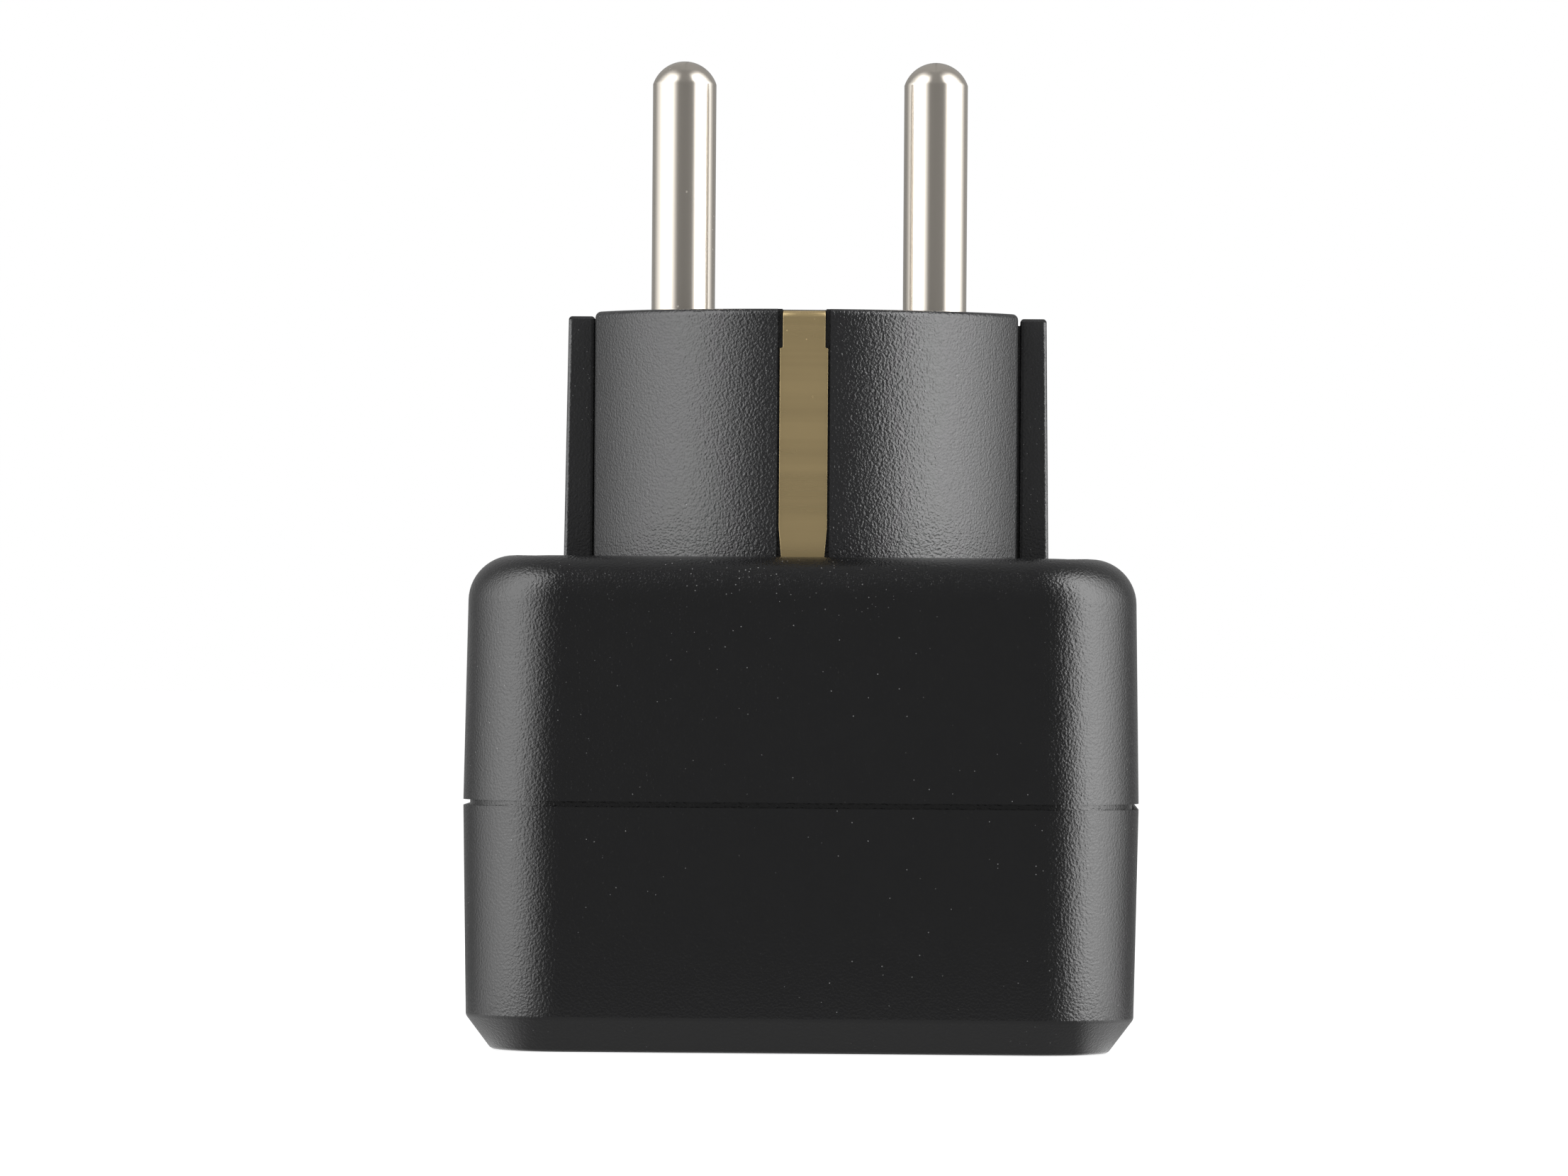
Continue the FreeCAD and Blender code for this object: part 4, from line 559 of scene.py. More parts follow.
def finish_for(slot, kind=""):
    """The material of a slot of the record, or of a kind of it, made the first time that it is asked for."""
    if (slot, kind) in FINISHES:
        return FINISHES[slot, kind]
    tint = colours()
    shell, plug, nickel, brass = (tuple(part) for part in (tint.shell, tint.plug, tint.nickel, tint.brass))
    along_z = (1.0, 1.0, 0.02)
    across = (0.03, 1.0, 1.0)
    on_shoulder = (SHOULDER - 5 * MM, SHOULDER - 1 * MM)
    at_foot = (SHOULDER + 0.8 * MM, SHOULDER + 0.2 * MM)
    makers = {
        "shell_plastic": (moulded_finish, shell, 0.18, 5500.0, 0.000042, 0.1, 0.3, 1.0, on_shoulder),
        "plug_plastic": (moulded_finish, plug, 0.16, 5500.0, 0.000055, 0.1, 0.4, 1.0, at_foot),
        "plate_plastic": (moulded_finish, shell, 0.4, 2200.0, 0.000008),
        "shutter_plastic": (moulded_finish, (0.02, 0.02, 0.021), 0.3, 1500.0, 0.000003),
        "inner_plastic": (moulded_finish, (0.55, 0.54, 0.5), 0.45, 2000.0, 0.000006),
        "port_plastic": (moulded_finish, (0.7, 0.7, 0.69), 0.35, 2000.0, 0.000004),
        "chip_epoxy": (moulded_finish, (0.025, 0.025, 0.027), 0.5, 3500.0, 0.00001),
        "pin_nickel": (drawn_finish, nickel, 0.14, along_z, 1800.0, 0.000003, 0.8),
        "strip_brass": (drawn_finish, brass, 0.22, across, 2600.0, 0.000003, 0.7),
        "inner_brass": (drawn_finish, (0.5, 0.38, 0.17), 0.28, along_z, 2000.0, 0.000003),
        "screw_steel": (drawn_finish, (0.45, 0.45, 0.46), 0.3, (1.0, 1.0, 1.0), 1500.0, 0.000004),
        "spring_steel": (drawn_finish, (0.5, 0.5, 0.52), 0.22, (1.0, 0.1, 1.0), 3000.0, 0.000002),
        "port_steel": (drawn_finish, (0.6, 0.6, 0.61), 0.2, across, 2200.0, 0.000003),
        "contact_gold": (drawn_finish, (0.8, 0.6, 0.25), 0.2, (1.0, 0.05, 1.0), 2600.0, 0.000002),
        "board_laminate": (coated_finish, (0.03, 0.16, 0.07), 0.4, 900.0, 0.00001, 0.4),
        "ferrite": (coated_finish, (0.05, 0.05, 0.055), 0.55, 2500.0, 0.00002),
        "winding_tape": (coated_finish, (0.75, 0.55, 0.08), 0.3, 500.0, 0.00003, 0.3),
        "capacitor_sleeve": (coated_finish, (0.03, 0.035, 0.05), 0.28, 600.0, 0.00001, 0.3),
        "fuse_ceramic": (coated_finish, (0.1, 0.32, 0.14), 0.4, 1200.0, 0.00003, 0.3),
        "disc_ceramic": (coated_finish, (0.05, 0.16, 0.42), 0.35, 900.0, 0.00004, 0.5),
        "lead_sleeve": (coated_finish, (0.5, 0.03, 0.02), 0.35, 900.0, 0.00001),
    }
    maker, *values = makers[slot]
    # The ears' copy of the plug's plastic: more dust, and a lighter base colour that is partly a painted lift
    # against the shade in their recess.
    if kind == "dusty":
        values = [tuple(part + 0.006 for part in plug), 0.25, 5500.0, 0.000035, 0.1, 0.9, 1.3]
    FINISHES[slot, kind] = maker((slot + " " + kind).strip(), *values)
    return FINISHES[slot, kind]


# The stage


SOFT_LIGHT = 0.4
TENT_RADIUS = 1.2
TENT_FADE = (54, 80)
FLOOR_HEIGHT = -0.05 * MM
FLOOR_WHITE = 0.85
# The floor's glow in reflections is painted: FLOOR_SHARE dims the lamps' glow near the adapter as a painted
# shadow, and the next setting is a painted grey glow, brighter near the adapter than farther out.
FLOOR_SHARE = (0.15, 0.745)
FLOOR_PAINTED_GLOW = (0.45, 0.25)
FLOOR_NEAR = 26 * MM
FLOOR_CLEAR = 58 * MM
FLOOR_PLAIN = 60 * MM
FILL_PLACE = (0.79, -0.31, 0.585)
FILL_TARGET = (0, 0, 0.038)
FILL_SIZE = (0.95, 1.17)
BLACK = (0.0, 0.0, 0.0)


def lamp(name, place, target, width, height, power):
    """A soft rectangular lamp for diffuse light. Reflections see the light tent in its place."""
    deselect()
    bpy.ops.object.light_add(type="AREA", location=place)
    light = bpy.context.object
    light.name = name
    light.rotation_euler = (Vector(target) - Vector(place)).to_track_quat("-Z", "Y").to_euler()
    light.data.shape = "RECTANGLE"
    light.data.size = width
    light.data.size_y = height
    light.data.energy = power
    light.visible_camera = False
    light.visible_glossy = False
    return light


def glowing(name):
    """A new material that reflects nothing sharply and glows by the colour that is fed to it."""
    material, tree, shader = new_material(name)
    shader.inputs["Specular IOR Level"].default_value = 0.0
    shader.inputs["Emission Strength"].default_value = 1.0
    return material, tree, shader


def lamp_glow(tree):
    """The soft lamps' glow at a place, with the scene's own brightness."""
    studio = bpy.context.scene.adapter_studio
    place = wire(tree, "ShaderNodeTexCoord").outputs["Object"]
    shines = {"Left": studio.left_shine, "Right": studio.right_shine, "Dim": studio.dim}
    return place, place_effect(tree, soft_lamps, place, **shines)


def tent_strength(tree):
    """The lamps' glow on the tent's wall, which fades out towards its roof."""
    place, glow = lamp_glow(tree)
    height = wire(tree, "ShaderNodeSeparateXYZ", {"Vector": place}).outputs["Z"]
    low, high = (TENT_RADIUS * math.sin(math.radians(degrees)) for degrees in TENT_FADE)
    fade = ramp(tree, height, low, high, 1.0, 0.0, "SMOOTHSTEP")
    return calculate(tree, "ADD", calculate(tree, "MULTIPLY", glow["Shine"], fade), glow["Round"])


def light_tent():
    """A domed tent that only reflections see, with the soft lamps' glow on its wall."""
    deselect()
    bpy.ops.mesh.primitive_uv_sphere_add(segments=96, ring_count=48, radius=TENT_RADIUS)
    tent = bpy.context.object
    tent.name = "light_tent"
    open_mesh(tent)
    bpy.ops.mesh.bisect(plane_co=(0, 0, -PAST), plane_no=(0, 0, 1), clear_inner=True)
    done(tent)
    material, tree, shader = glowing("Light tent")
    shader.inputs["Base Color"].default_value = (*BLACK, 1.0)
    tree.links.new(tent_strength(tree), shader.inputs["Emission Color"])
    tent.data.materials.append(material)
    tent.visible_camera = False
    tent.visible_diffuse = False
    tent.visible_shadow = False


def seen_directly(tree, rays):
    """One for rays that come from the camera, also through glass."""
    return calculate(tree, "MAXIMUM", rays["Is Camera Ray"], rays["Is Transmission Ray"])


def white_surroundings():
    """A world that is white to look at and gives plain soft light."""
    world = bpy.data.worlds.new("Surroundings")
    bpy.context.scene.world = world
    world.use_nodes = True
    tree = world.node_tree
    rays = wire(tree, "ShaderNodeLightPath").outputs
    sharp = calculate(tree, "MAXIMUM", seen_directly(tree, rays), rays["Is Glossy Ray"])
    strength = ramp(tree, sharp, 0.0, 1.0, SOFT_LIGHT, 1.0)
    background = tree.nodes["Background"]
    background.inputs["Color"].default_value = (1.0, 1.0, 1.0, 1.0)
    tree.links.new(strength, background.inputs["Strength"])


def pale_floor():
    """The floor, as white as the surroundings and with the adapter's shadow. Reflections see a painted glow
    on it
    in place of its own colour: the lamps' light at both sides, dimmed near the adapter as a painted shadow, a
    painted grey glow that is brighter near the adapter, and less glow in front of the adapter and behind it."""
    deselect()
    bpy.ops.mesh.primitive_plane_add(size=8, location=(0, 0, FLOOR_HEIGHT))
    floor = bpy.context.object
    floor.name = "floor"
    settle(floor)
    material, tree, shader = glowing("Floor")
    rays = wire(tree, "ShaderNodeLightPath").outputs
    place, lamps = lamp_glow(tree)
    axes = wire(tree, "ShaderNodeSeparateXYZ", {"Vector": place}).outputs
    sideways = calculate(tree, "ABSOLUTE", axes["X"], 0.0)
    outward = calculate(tree, "MAXIMUM", sideways, calculate(tree, "MULTIPLY", axes["Y"], -1.0))
    # Painted light: reflections see the lamps' glow dimmed near the adapter as a painted shadow, plus a
    # painted grey glow that is brighter near the adapter.
    clear = ramp(tree, outward, FLOOR_NEAR, FLOOR_CLEAR, *FLOOR_SHARE)
    shine = calculate(tree, "MULTIPLY", lamps["Shine"], clear)
    glow = calculate(tree, "ADD", shine, ramp(tree, outward, FLOOR_NEAR, FLOOR_PLAIN, *FLOOR_PAINTED_GLOW))
    direct = calculate(tree, "MULTIPLY", seen_directly(tree, rays), FLOOR_WHITE)
    reflected = calculate(tree, "MULTIPLY", rays["Is Glossy Ray"], glow)
    tree.links.new(calculate(tree, "ADD", direct, reflected), shader.inputs["Emission Color"])
    tint = tuple(colours().floor)
    tree.links.new(blend_colour(tree, rays["Is Glossy Ray"], tint, BLACK), shader.inputs["Base Color"])
    shader.inputs["Roughness"].default_value = 0.9
    floor.data.materials.append(material)


def add_camera():
    """The camera, at the photograph's viewing angle."""
    studio = bpy.context.scene.adapter_studio
    deselect()
    bpy.ops.object.camera_add()
    camera = bpy.context.object
    sideways = Vector((math.cos(studio.azimuth), math.sin(studio.azimuth), 0))
    forward = Vector((-math.sin(studio.azimuth), math.cos(studio.azimuth), 0))
    place = -studio.distance * forward - studio.aim * sideways
    place.z = studio.camera_height
    level_view = Matrix.Rotation(math.radians(90), 4, "X")
    turned_by = (Matrix.Rotation(studio.azimuth, 4, "Z") @ Matrix.Rotation(studio.pitch, 4, "X") @ level_view
                 @ Matrix.Rotation(studio.roll, 4, "Z"))
    camera.matrix_world = Matrix.Translation(place) @ turned_by
    camera.data.lens = studio.lens
    camera.data.sensor_width = 36
    camera.data.clip_start = 0.05
    camera.data.clip_end = 20
    bpy.context.scene.camera = camera


class ADAPTER_OT_stage(bpy.types.Operator):
    """Sets up the floor, the surroundings, the lamps and the camera."""

    bl_idname = "adapter.stage"
    bl_label = "Stage"

    def execute(self, context):
        studio = context.scene.adapter_studio
        context.scene.view_settings.view_transform = "Standard"
        white_surroundings()
        pale_floor()
        light_tent()
        sideways, forwards, upwards = FILL_PLACE
        for name, side in zip(("left", "right"), SIDES):
            lamp(name + "_fill", (side * sideways, forwards, upwards), FILL_TARGET, *FILL_SIZE, studio.fill)
        add_camera()
        return {"FINISHED"}


# The pieces that show


# WINDOW holds half its width, half its depth and its corner radius, EAR_REACH the ears' outer side at the
# shoulder and at the top, PORT_ROOM half its width and its two heights. The flanges hold how far they reach
# past the plug or the ears, and PLUG_FLANGE its thickness. PIN_ROOT holds a radius and a length, PIN_COLLAR a
# radius and how deep its lower and upper end lie, PIN_DOME the sphere's radius and the dome's height.
FACE_ANGLE = 30
SPRING_ANGLE = 60
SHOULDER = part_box("upper_shell")[1].z
PLUG_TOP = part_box("plug_body")[1].z
CEILING = SHOULDER - 2.0 * MM
EAR_TOP = PLUG_TOP - 0.25 * MM
NECK_TOP = EAR_TOP - 0.5 * MM
CARRIER_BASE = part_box("pin_carrier")[0].z
PLUG_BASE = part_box("plug_body")[0].z
BRIDGE_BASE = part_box("earth_bridge")[0].z
PIN_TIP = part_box("live_pin")[1].z
PIN_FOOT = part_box("live_pin")[0].z
BEVEL_ROUNDING = 0.5 * MM
SEAM_REBATE = 1.0 * MM
TONGUE_INSET = 1.1 * MM
TONGUE_RISE = 1.5 * MM
BOSS_X = 19.05 * MM
BOSS_Y = 19.13 * MM
BOSS_RADIUS = 3.0 * MM
SCREW_SEAT = 22.42 * MM
SCREW_HOLE = 2.05 * MM
WINDOW = (15.75 * MM, 21.0 * MM, 2.0 * MM)
EAR_HALF_DEPTH = 4.7 * MM
SLOT_HALF = 2.7 * MM
EAR_REACH = (18.2 * MM, 17.95 * MM)
EAR_SLIT = 0.17 * MM
PORT_X = 8.0 * MM
PORT_ROOM = (6.7 * MM, 23.07 * MM, 29.07 * MM)
OUTSIDE = 22 * MM
PLUG_WALL = 1.6 * MM
PLUG_FACE = 2.2 * MM
PLUG_FLANGE = (2.2 * MM, 1.1 * MM)
GROOVE_FLOOR = 16.85 * MM
FOLD_FLOOR = 14.85 * MM
FOLD_DEPTH = 0.775 * MM
PIN_PLAY = 0.12 * MM
SLEEVE_PLACE = 10 * MM
SLEEVE_ROOM = 3.2 * MM
NECK_HALF_DEPTH = 4 * MM
NECK_BEYOND = 1.075 * MM
CORE_WITHIN = 1.7 * MM
CARRIER_FLANGE = (2.3 * MM, 1.8 * MM)
EAR_ROUNDING = 0.3 * MM
EAR_TOP_ROUNDING = 0.25 * MM
PIN_ROOT = (1.2 * MM, 1.2 * MM)
PIN_CORE = 1.9 * MM
PIN_COLLAR = (3.3 * MM, 7 * MM, 5 * MM)
PIN_DOME = (2.52 * MM, 1.75 * MM)


def all_sides(x, y):
    """The four places at plus and minus x and y."""
    return [(side_x * x, side_y * y) for side_x in SIDES for side_y in SIDES]


def fillet_reach(radius, degrees):
    """How far from an edge a rounding of this radius starts, where the surface turns by an angle."""
    return radius * math.tan(math.radians(degrees) / 2)


def drafted_block(name, zs, insets):
    """A block in the housing's outline, drawn in by an amount at each end, with round upright corners."""
    size = sizes()
    wide, deep = size.half_width - insets[0], size.half_depth - insets[0]
    piece = block(name, (-wide, wide), (-deep, deep), zs)
    pick(piece, "faces", lambda face: level(face, zs[1]))
    narrow, shallow = size.half_width - insets[1], size.half_depth - insets[1]
    resize(narrow / wide, shallow / deep, (0, 0, zs[1]))
    done(piece)
    return round_edges(piece, upright, size.corner_radius, 16)


def step_in(inset, rise, shrink=(1, 1)):
    """Insets the selected level face, draws the new face up or down and makes it narrower by a share."""
    bpy.ops.mesh.inset(thickness=inset, depth=0, use_even_offset=True)
    extrude(z=rise)
    resize(*shrink, (0, 0, 0))


def plug_section(name, grow, zs, sides=192):
    """The plug's section, a circle with two flats, grown by an amount."""
    size = sizes()
    piece = post(name, size.plug_radius + grow, 0, 0, zs, sides)
    half = size.plug_flat + grow
    for side in SIDES:
        open_mesh(piece)
        bpy.ops.mesh.bisect(plane_co=(side * half, 0, 0), plane_no=(side, 0, 0), use_fill=True,
                            clear_outer=True)
        done(piece)
    return piece


def tidy_shading(piece, angle=FACE_ANGLE):
    """Joins faces that lie in one plane, shades the round surfaces smoothly and keeps the flat ones flat."""
    pick(piece, "faces", lambda face: True)
    bpy.ops.mesh.dissolve_limited(angle_limit=math.radians(0.1), delimit={"NORMAL"})
    done(piece)
    smooth(piece, angle)
    return use_modifier(piece, "WEIGHTED_NORMAL", mode="FACE_AREA", weight=50, keep_sharp=True)


class ADAPTER_OT_lower_housing(bpy.types.Operator):
    """Models the lower housing: bevelled face, window, seam step and tongue, and screw bosses."""

    bl_idname = "adapter.lower_housing"
    bl_label = "Lower housing"

    def execute(self, context):
        size = sizes()
        slope = math.tan(size.lower_draft)
        start = (size.seam_bottom - size.bevel_height) * slope
        piece = drafted_block("lower_housing", (size.bevel_height, size.seam_bottom), (start, 0))
        pick(piece, "faces", lambda face: level(face, size.bevel_height))
        width = size.bevel_width + size.bevel_height * slope
        bpy.ops.mesh.inset(thickness=width, depth=size.bevel_height, use_even_offset=True)
        done(piece)
        tilt = math.degrees(math.atan2(width, size.bevel_height))
        for z, bend in ((0, 90 - tilt), (size.bevel_height, tilt)):
            reach = fillet_reach(BEVEL_ROUNDING, bend)
            round_edges(piece, lambda edge: level(edge, z), reach, 4)
        pick(piece, "faces", lambda face: level(face, size.seam_bottom))
        step_in(size.seam_depth, size.seam_top - size.seam_bottom)
        step_in(TONGUE_INSET - size.seam_depth, TONGUE_RISE)
        depth = size.seam_top + TONGUE_RISE - size.face
        draft = (size.seam_bottom - size.face) * slope
        shrink = [1 - draft / (half - size.wall) for half in (size.half_width, size.half_depth)]
        step_in(size.wall - TONGUE_INSET, -depth, shrink)
        done(piece)
        bosses = [post("boss", BOSS_RADIUS, x, y, (size.face / 2, size.seam_top), 48)
                  for x, y in all_sides(BOSS_X, BOSS_Y)]
        combine(piece, bosses, "UNION")
        half_x, half_y, radius = WINDOW
        window = block("window", (-half_x, half_x), (-half_y, half_y), (-PAST, size.face + PAST))
        combine(piece, [round_edges(window, upright, radius, 8)], "DIFFERENCE")
        round_edges(piece, lambda edge: level(edge, 0) and inside_window(edge), size.edge_softness, 2)
        tidy_shading(piece)
        finish_piece(piece, "shell_plastic", "housing", "lower_shell")
        return {"FINISHED"}


def inside_window(edge):
    """Whether an edge belongs to the window's rim."""
    return all(abs(vertex.co.x) < WINDOW[0] + PLAY and abs(vertex.co.y) < WINDOW[1] + PLAY
               for vertex in edge.verts)


class ADAPTER_OT_upper_housing(bpy.types.Operator):
    """Models the upper housing: rounded shoulder, plug opening, port openings and screw wells."""

    bl_idname = "adapter.upper_housing"
    bl_label = "Upper housing"

    def execute(self, context):
        size = sizes()
        slope = math.tan(size.upper_draft)
        end = (SHOULDER - size.seam_top) * slope
        piece = drafted_block("upper_housing", (size.seam_top, SHOULDER), (0, end))
        round_edges(piece, lambda edge: level(edge, SHOULDER), size.shoulder_radius, 14)
        pick(piece, "faces", lambda face: level(face, size.seam_top))
        step_in(SEAM_REBATE, TONGUE_RISE + PLAY)
        rise = CEILING - size.seam_top - TONGUE_RISE - PLAY
        draft = (CEILING - size.seam_top) * slope
        shrink = [1 - draft / (half - size.wall) for half in (size.half_width, size.half_depth)]
        step_in(size.wall - SEAM_REBATE, rise, shrink)
        done(piece)
        bosses = [post("boss", BOSS_RADIUS, x, y, (size.seam_top, CEILING + PAST), 48)
                  for x, y in all_sides(BOSS_X, BOSS_Y)]
        combine(piece, bosses, "UNION")
        through = (CEILING - PAST, SHOULDER + PAST)
        ear_x, ear_y = EAR_REACH[0] + PLAY, EAR_HALF_DEPTH + PLAY
        cutters = [plug_section("opening", PLAY, through),
                   block("opening", (-ear_x, ear_x), (-ear_y, ear_y), through)]
        for x, y in all_sides(BOSS_X, BOSS_Y):
            cutters.append(post("well", SCREW_HOLE, x, y, (SCREW_SEAT, SHOULDER + PAST), 48))
        for side in SIDES:
            cutters.append(block("port", (side * PORT_X - PORT_ROOM[0], side * PORT_X + PORT_ROOM[0]),
                                 (size.half_depth - size.wall - PAST, size.half_depth + PAST), PORT_ROOM[1:]))
        combine(piece, cutters, "DIFFERENCE")
        tidy_shading(piece)
        finish_piece(piece, "shell_plastic", "housing", "upper_shell")
        return {"FINISHED"}


class ADAPTER_OT_plug(bpy.types.Operator):
    """Models the round plug body with its flats, rim, strap grooves and holes."""

    bl_idname = "adapter.plug"
    bl_label = "Plug body"

    def execute(self, context):
        size = sizes()
        piece = plug_section("plug", 0, (PLUG_BASE, PLUG_TOP))
        round_edges(piece, lambda edge: level(edge, PLUG_TOP), size.plug_edge, 5)
        reach, thick = PLUG_FLANGE
        flange = post("flange", size.plug_radius + reach, 0, 0, (PLUG_BASE, PLUG_BASE + thick), 192)
        combine(piece, [flange], "UNION")
        cutters = [plug_section("cup", -PLUG_WALL, (PLUG_BASE - PAST, PLUG_TOP - PLUG_FACE))]
        half_groove = size.groove_width / 2
        half_tab = (size.strap_tab + PLAY) / 2
        half_ear = EAR_HALF_DEPTH + PLAY
        half_neck = NECK_HALF_DEPTH + PLAY
        face_cut = (PLUG_TOP - PLUG_FACE - PAST, PLUG_TOP + PAST)
        for side in SIDES:
            cutters += [
                block("groove", (-half_groove, half_groove), (side * GROOVE_FLOOR, side * OUTSIDE),
                      (PLUG_BASE - PAST, PLUG_TOP + PAST)),
                block("fold", (-half_tab, half_tab), (side * FOLD_FLOOR, side * size.plug_radius),
                      (PLUG_TOP - FOLD_DEPTH, PLUG_TOP + PAST)),
                post("hole", size.pin_radius + PIN_PLAY, side * size.pin_offset, 0, face_cut, 64),
                block("ear room", (side * (size.plug_flat + EAR_SLIT / 2), side * OUTSIDE),
                      (-half_ear, half_ear), (PLUG_BASE - PAST, SHOULDER))]
        cutters += [
            block("neck room", (-OUTSIDE, OUTSIDE), (-half_neck, half_neck),
                  (PLUG_BASE - PAST, NECK_TOP + PLAY)),
            post("sleeve room", SLEEVE_ROOM, 0, SLEEVE_PLACE, face_cut, 64)]
        combine(piece, cutters, "DIFFERENCE")
        tidy_shading(piece)
        finish_piece(piece, "plug_plastic", "housing", "plug_body")
        return {"FINISHED"}


class ADAPTER_OT_ears(bpy.types.Operator):
    """Models the pin carrier with its four guide ears."""

    bl_idname = "adapter.ears"
    bl_label = "Guide ears"

    def execute(self, context):
        size = sizes()
        inner = size.plug_flat + EAR_SLIT
        ears = []
        for x_side, y_side in all_sides(1, 1):
            ear = block("ear", (x_side * inner, x_side * EAR_REACH[0]),
                        (y_side * SLOT_HALF, y_side * EAR_HALF_DEPTH), (CARRIER_BASE, SHOULDER))
            pick(ear, "faces", lambda face: level(face, SHOULDER))
            extrude(z=EAR_TOP - SHOULDER)
            resize((EAR_REACH[1] - inner) / (EAR_REACH[0] - inner), 1, (x_side * inner, 0, EAR_TOP))
            done(ear)
            round_edges(ear, lambda edge: level(edge, EAR_TOP), EAR_TOP_ROUNDING, 4)
            round_edges(ear, upright, EAR_ROUNDING, 5)
            ears.append(ear)
        core_half = size.plug_flat - CORE_WITHIN
        core = block("carrier", (-core_half, core_half), (-EAR_HALF_DEPTH, EAR_HALF_DEPTH),
                     (CARRIER_BASE, PLUG_TOP - PLUG_FACE - PLAY))
        flange_x, flange_y = EAR_REACH[0] + CARRIER_FLANGE[0], EAR_HALF_DEPTH + CARRIER_FLANGE[1]
        flange = block("flange", (-flange_x, flange_x), (-flange_y, flange_y),
                       (CARRIER_BASE, PLUG_BASE - PLAY))
        neck_x = size.plug_flat + NECK_BEYOND
        neck = block("neck", (-neck_x, neck_x), (-NECK_HALF_DEPTH, NECK_HALF_DEPTH),
                     (CARRIER_BASE, NECK_TOP))
        slots = [block("slot", (side * size.plug_flat, side * OUTSIDE), (-SLOT_HALF, SLOT_HALF),
                       (PLUG_BASE, NECK_TOP + PAST)) for side in SIDES]
        combine(neck, slots, "DIFFERENCE")
        combine(core, [flange, neck] + ears, "UNION")
        tall = (CARRIER_BASE - PAST, PLUG_TOP)
        tails = [post("tail", PIN_CORE + LEDGE, side * size.pin_offset, 0, tall, 48) for side in SIDES]
        combine(core, tails, "DIFFERENCE")
        core.name = "guide_ears"
        tidy_shading(core)
        finish_piece(core, "plug_plastic", "housing", "pin_carrier")
        # The ears get a lighter copy of the plug's plastic: dust, and a painted lift against the shade in
        # their recess.
        core.data.materials[0] = finish_for("plug_plastic", "dusty")
        return {"FINISHED"}


class ADAPTER_OT_pins(bpy.types.Operator):
    """Turns the two plug pins with their collars and domes."""

    bl_idname = "adapter.pins"
    bl_label = "Pins"

    def execute(self, context):
        size = sizes()
        sphere, rise = PIN_DOME
        shoulder = PIN_TIP - rise
        centre = PIN_TIP - sphere
        root, root_length = PIN_ROOT
        root_end = PIN_FOOT + root_length
        collar, under, over = PIN_COLLAR
        rings = [
            (root, PIN_FOOT), (root, root_end), (PIN_CORE, root_end + LEDGE),
            (PIN_CORE, PLUG_TOP - under), (collar, PLUG_TOP - under + LEDGE),
            (collar, PLUG_TOP - over - LEDGE), (PIN_CORE, PLUG_TOP - over),
            (PIN_CORE, PLUG_TOP - 2 * LEDGE), (size.pin_radius, PLUG_TOP), (size.pin_radius, shoulder)]
        first = math.acos(min(1, size.pin_radius / sphere))
        start = max(first, math.asin((shoulder - centre) / sphere))
        steps = 14
        for step in range(1, steps + 1):
            angle = start + (math.radians(89) - start) * step / steps
            rings.append((sphere * math.cos(angle), centre + sphere * math.sin(angle)))
        for side, node in zip(SIDES, ("live_pin", "neutral_pin")):
            pin = turned(node.replace("pin", "plug_pin"), side * size.pin_offset, 0, rings)
            tidy_shading(pin, 40)
            finish_piece(pin, "pin_nickel", "housing", node)
        return {"FINISHED"}


class ADAPTER_OT_straps(bpy.types.Operator):
    """Models the earth strap with its stepped tab and fold, and copies it to the back."""

    bl_idname = "adapter.straps"
    bl_label = "Earth straps"

    def execute(self, context):
        size = sizes()
        face, back = -17.5 * MM, -16.9 * MM
        top = PLUG_TOP - 0.125 * MM
        tab_base = PLUG_TOP - 2.9 * MM
        taper = SHOULDER + 2.2 * MM
        fold = 2.6 * MM
        thick = abs(face - back)
        wide, tab, foot = size.strap_width / 2, size.strap_tab / 2, 1.6 * MM
        strap = block("earth_strap_front", (-wide, wide), (face, back), (taper, tab_base))
        pick(strap, "faces", lambda element: level(element, tab_base))
        extrude(z=LEDGE)
        resize(tab / wide, 1, (0, 0, 0))
        extrude(z=top - thick - tab_base - LEDGE)
        extrude(z=thick)
        done(strap)
        pick(strap, "faces", lambda element: in_plane(element, back)
             and min(vertex.co.z for vertex in element.verts) > top - thick - NEAR)
        extrude(y=fold - thick)
        done(strap)
        round_edges(strap, lambda edge: level(edge, top) and in_plane(edge, face), 0.5 * MM, 6)
        pick(strap, "faces", lambda element: level(element, taper))
        extrude(z=SHOULDER - taper)
        resize(foot / wide, 1, (0, 0, 0))
        extrude(z=BRIDGE_BASE - SHOULDER)
        done(strap)
        soften(strap, 0.06 * MM, True)
        activate(strap)
        bpy.ops.object.duplicate()
        twin = bpy.context.object
        twin.name = "earth_strap_back"
        twin.rotation_euler = (0, 0, math.pi)
        settle(twin)
        for piece, node in ((strap, "earth_strip_front"), (twin, "earth_strip_back")):
            tidy_shading(piece)
            finish_piece(piece, "strip_brass", "housing", node)
        return {"FINISHED"}


def merged_copy(name, node):
    """A copy of a sub-part's mesh, with its loose triangles merged into whole faces."""
    piece = bpy.data.objects.new(name, frame["nodes"][node].data.copy())
    bpy.context.scene.collection.objects.link(piece)
    pick(piece, "faces", lambda face: True)
    bpy.ops.mesh.remove_doubles(threshold=0.001 * MM)
    bpy.ops.mesh.dissolve_limited(angle_limit=math.radians(0.5))
    bpy.ops.mesh.customdata_custom_splitnormals_clear()
    return done(piece)


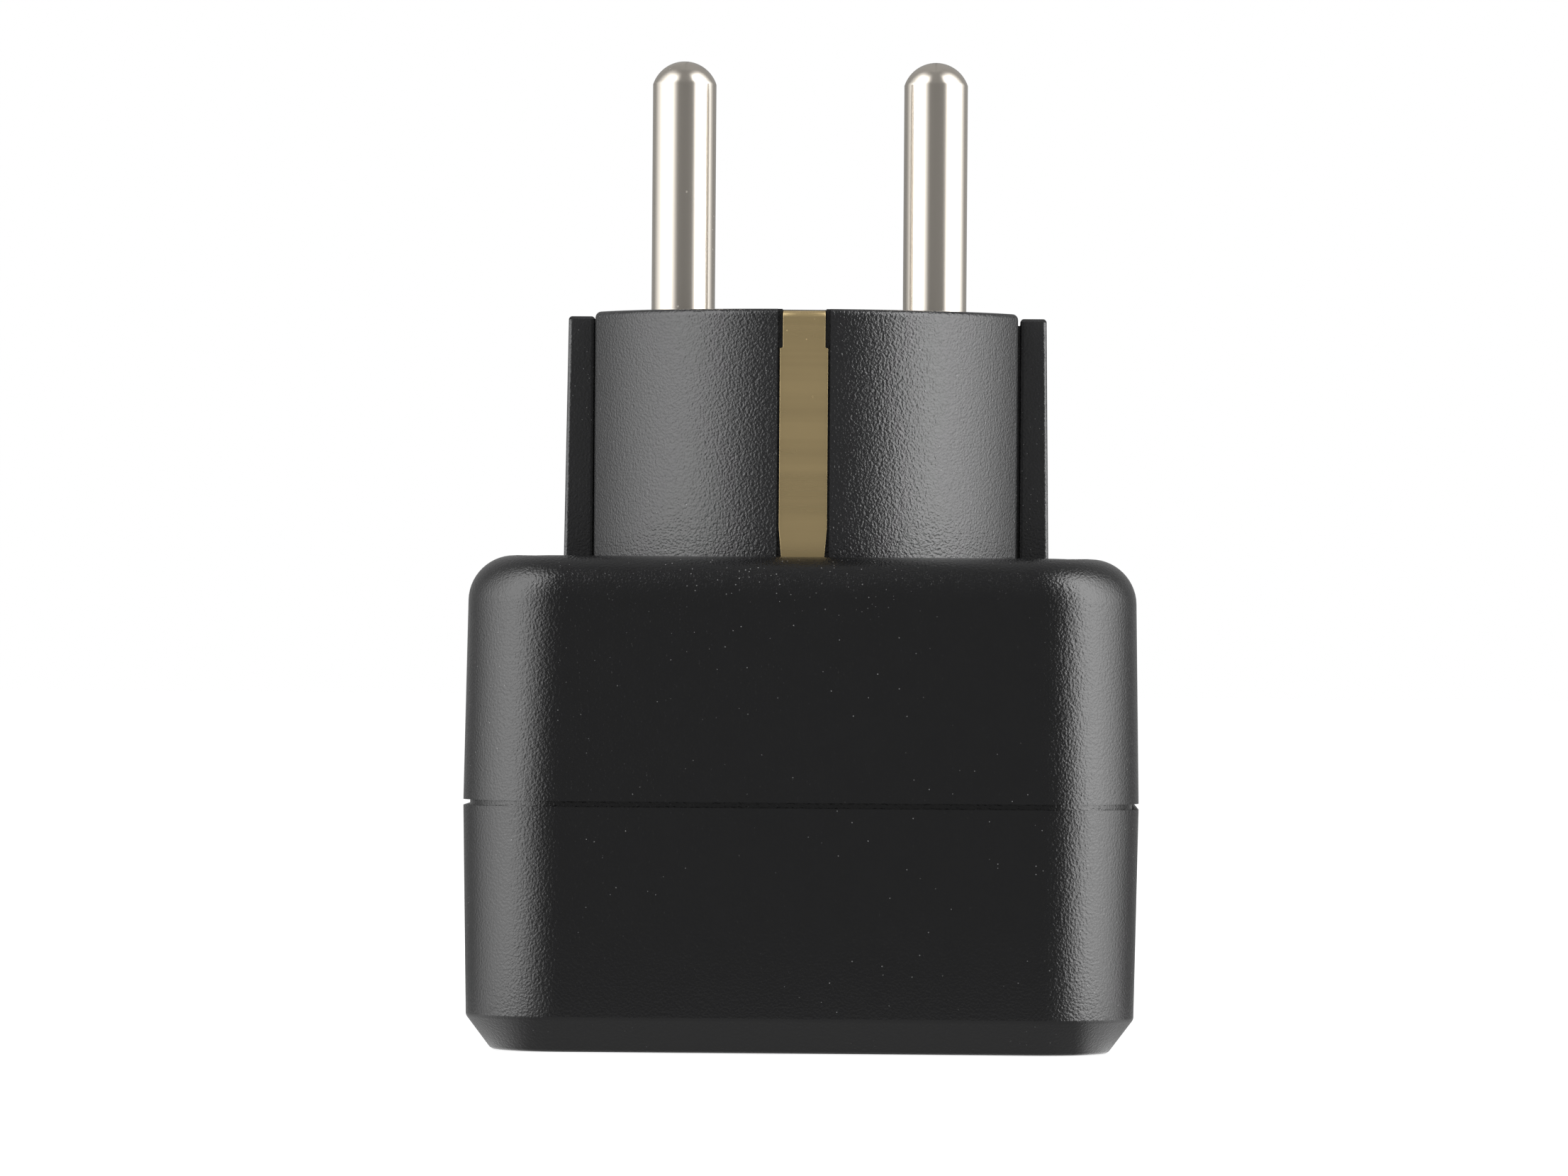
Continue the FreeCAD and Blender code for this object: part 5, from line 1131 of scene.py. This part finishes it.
class ADAPTER_OT_openings(bpy.types.Operator):
    """Copies the sub-parts that show in the adapter's openings, merges their faces and rounds their edges."""

    bl_idname = "adapter.openings"
    bl_label = "Parts in the openings"

    def execute(self, context):
        rows = [("shutter", "shutter_plastic", "shutter", 0.1),
                ("earth_sleeve", "inner_brass", "housing", 0.1),
                ("case_screws", "screw_steel", "housing", 0.08)]
        for side in ("left", "right"):
            rows += [("port_shell_" + side, "port_steel", "housing", 0.07),
                     ("port_tongue_" + side, "port_plastic", "housing", 0.12)]
        for node, slot, body, width in rows:
            piece = merged_copy("shaped_" + node, node)
            soften(piece, width * MM, False)
            tidy_shading(piece)
            finish_piece(piece, slot, body, node)
        return {"FINISHED"}


class ADAPTER_OT_spring(bpy.types.Operator):
    """Copies the shutter's return spring and gives it a mesh of its own."""

    bl_idname = "adapter.spring"
    bl_label = "Spring"

    def execute(self, context):
        piece = merged_copy("return_spring", "shutter_spring")
        smooth(piece, SPRING_ANGLE)
        finish_piece(piece, "spring_steel", "housing", "shutter_spring")
        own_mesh(piece)
        return {"FINISHED"}


class ADAPTER_OT_finishes(bpy.types.Operator):
    """Gives the sub-parts that keep their own shape the finish of their slot."""

    bl_idname = "adapter.finishes"
    bl_label = "Finishes"

    def execute(self, context):
        for row in frame["record"]["subparts"]:
            node = frame["nodes"][row["node"]]
            material = finish_for(row["material_slot"])
            for slot in node.material_slots:
                slot.material = material
        return {"FINISHED"}


# The panel and the whole run


class ADAPTER_PT_panel(bpy.types.Panel):
    """Lists the steps that build the adapter."""

    bl_label = "Adapter"
    bl_idname = "ADAPTER_PT_panel"
    bl_space_type = "VIEW_3D"
    bl_region_type = "UI"
    bl_category = "Adapter"

    def draw(self, context):
        for step in STEPS:
            self.layout.operator("adapter." + step)


GROUPS = {"adapter_sizes": AdapterSizes, "adapter_colours": AdapterColours, "adapter_studio": StudioSettings}
OPERATORS = (ADAPTER_OT_stage, ADAPTER_OT_finishes, ADAPTER_OT_lower_housing, ADAPTER_OT_upper_housing,
             ADAPTER_OT_plug, ADAPTER_OT_ears, ADAPTER_OT_pins, ADAPTER_OT_straps, ADAPTER_OT_openings,
             ADAPTER_OT_spring)
STEPS = [kind.bl_idname.split(".")[1] for kind in OPERATORS]
CLASSES = tuple(GROUPS.values()) + OPERATORS + (ADAPTER_PT_panel,)


def register():
    """Registers the classes and adds the settings to the scene."""
    for item in CLASSES:
        bpy.utils.register_class(item)
    for name, group in GROUPS.items():
        setattr(bpy.types.Scene, name, bpy.props.PointerProperty(type=group))


def unregister():
    """Takes the settings and the classes away again."""
    for name in GROUPS:
        delattr(bpy.types.Scene, name)
    for item in reversed(CLASSES):
        bpy.utils.unregister_class(item)


def main():
    """Builds the adapter step by step."""
    register()
    for step in STEPS:
        getattr(bpy.ops.adapter, step)()


if __name__ == "__main__":
    main()
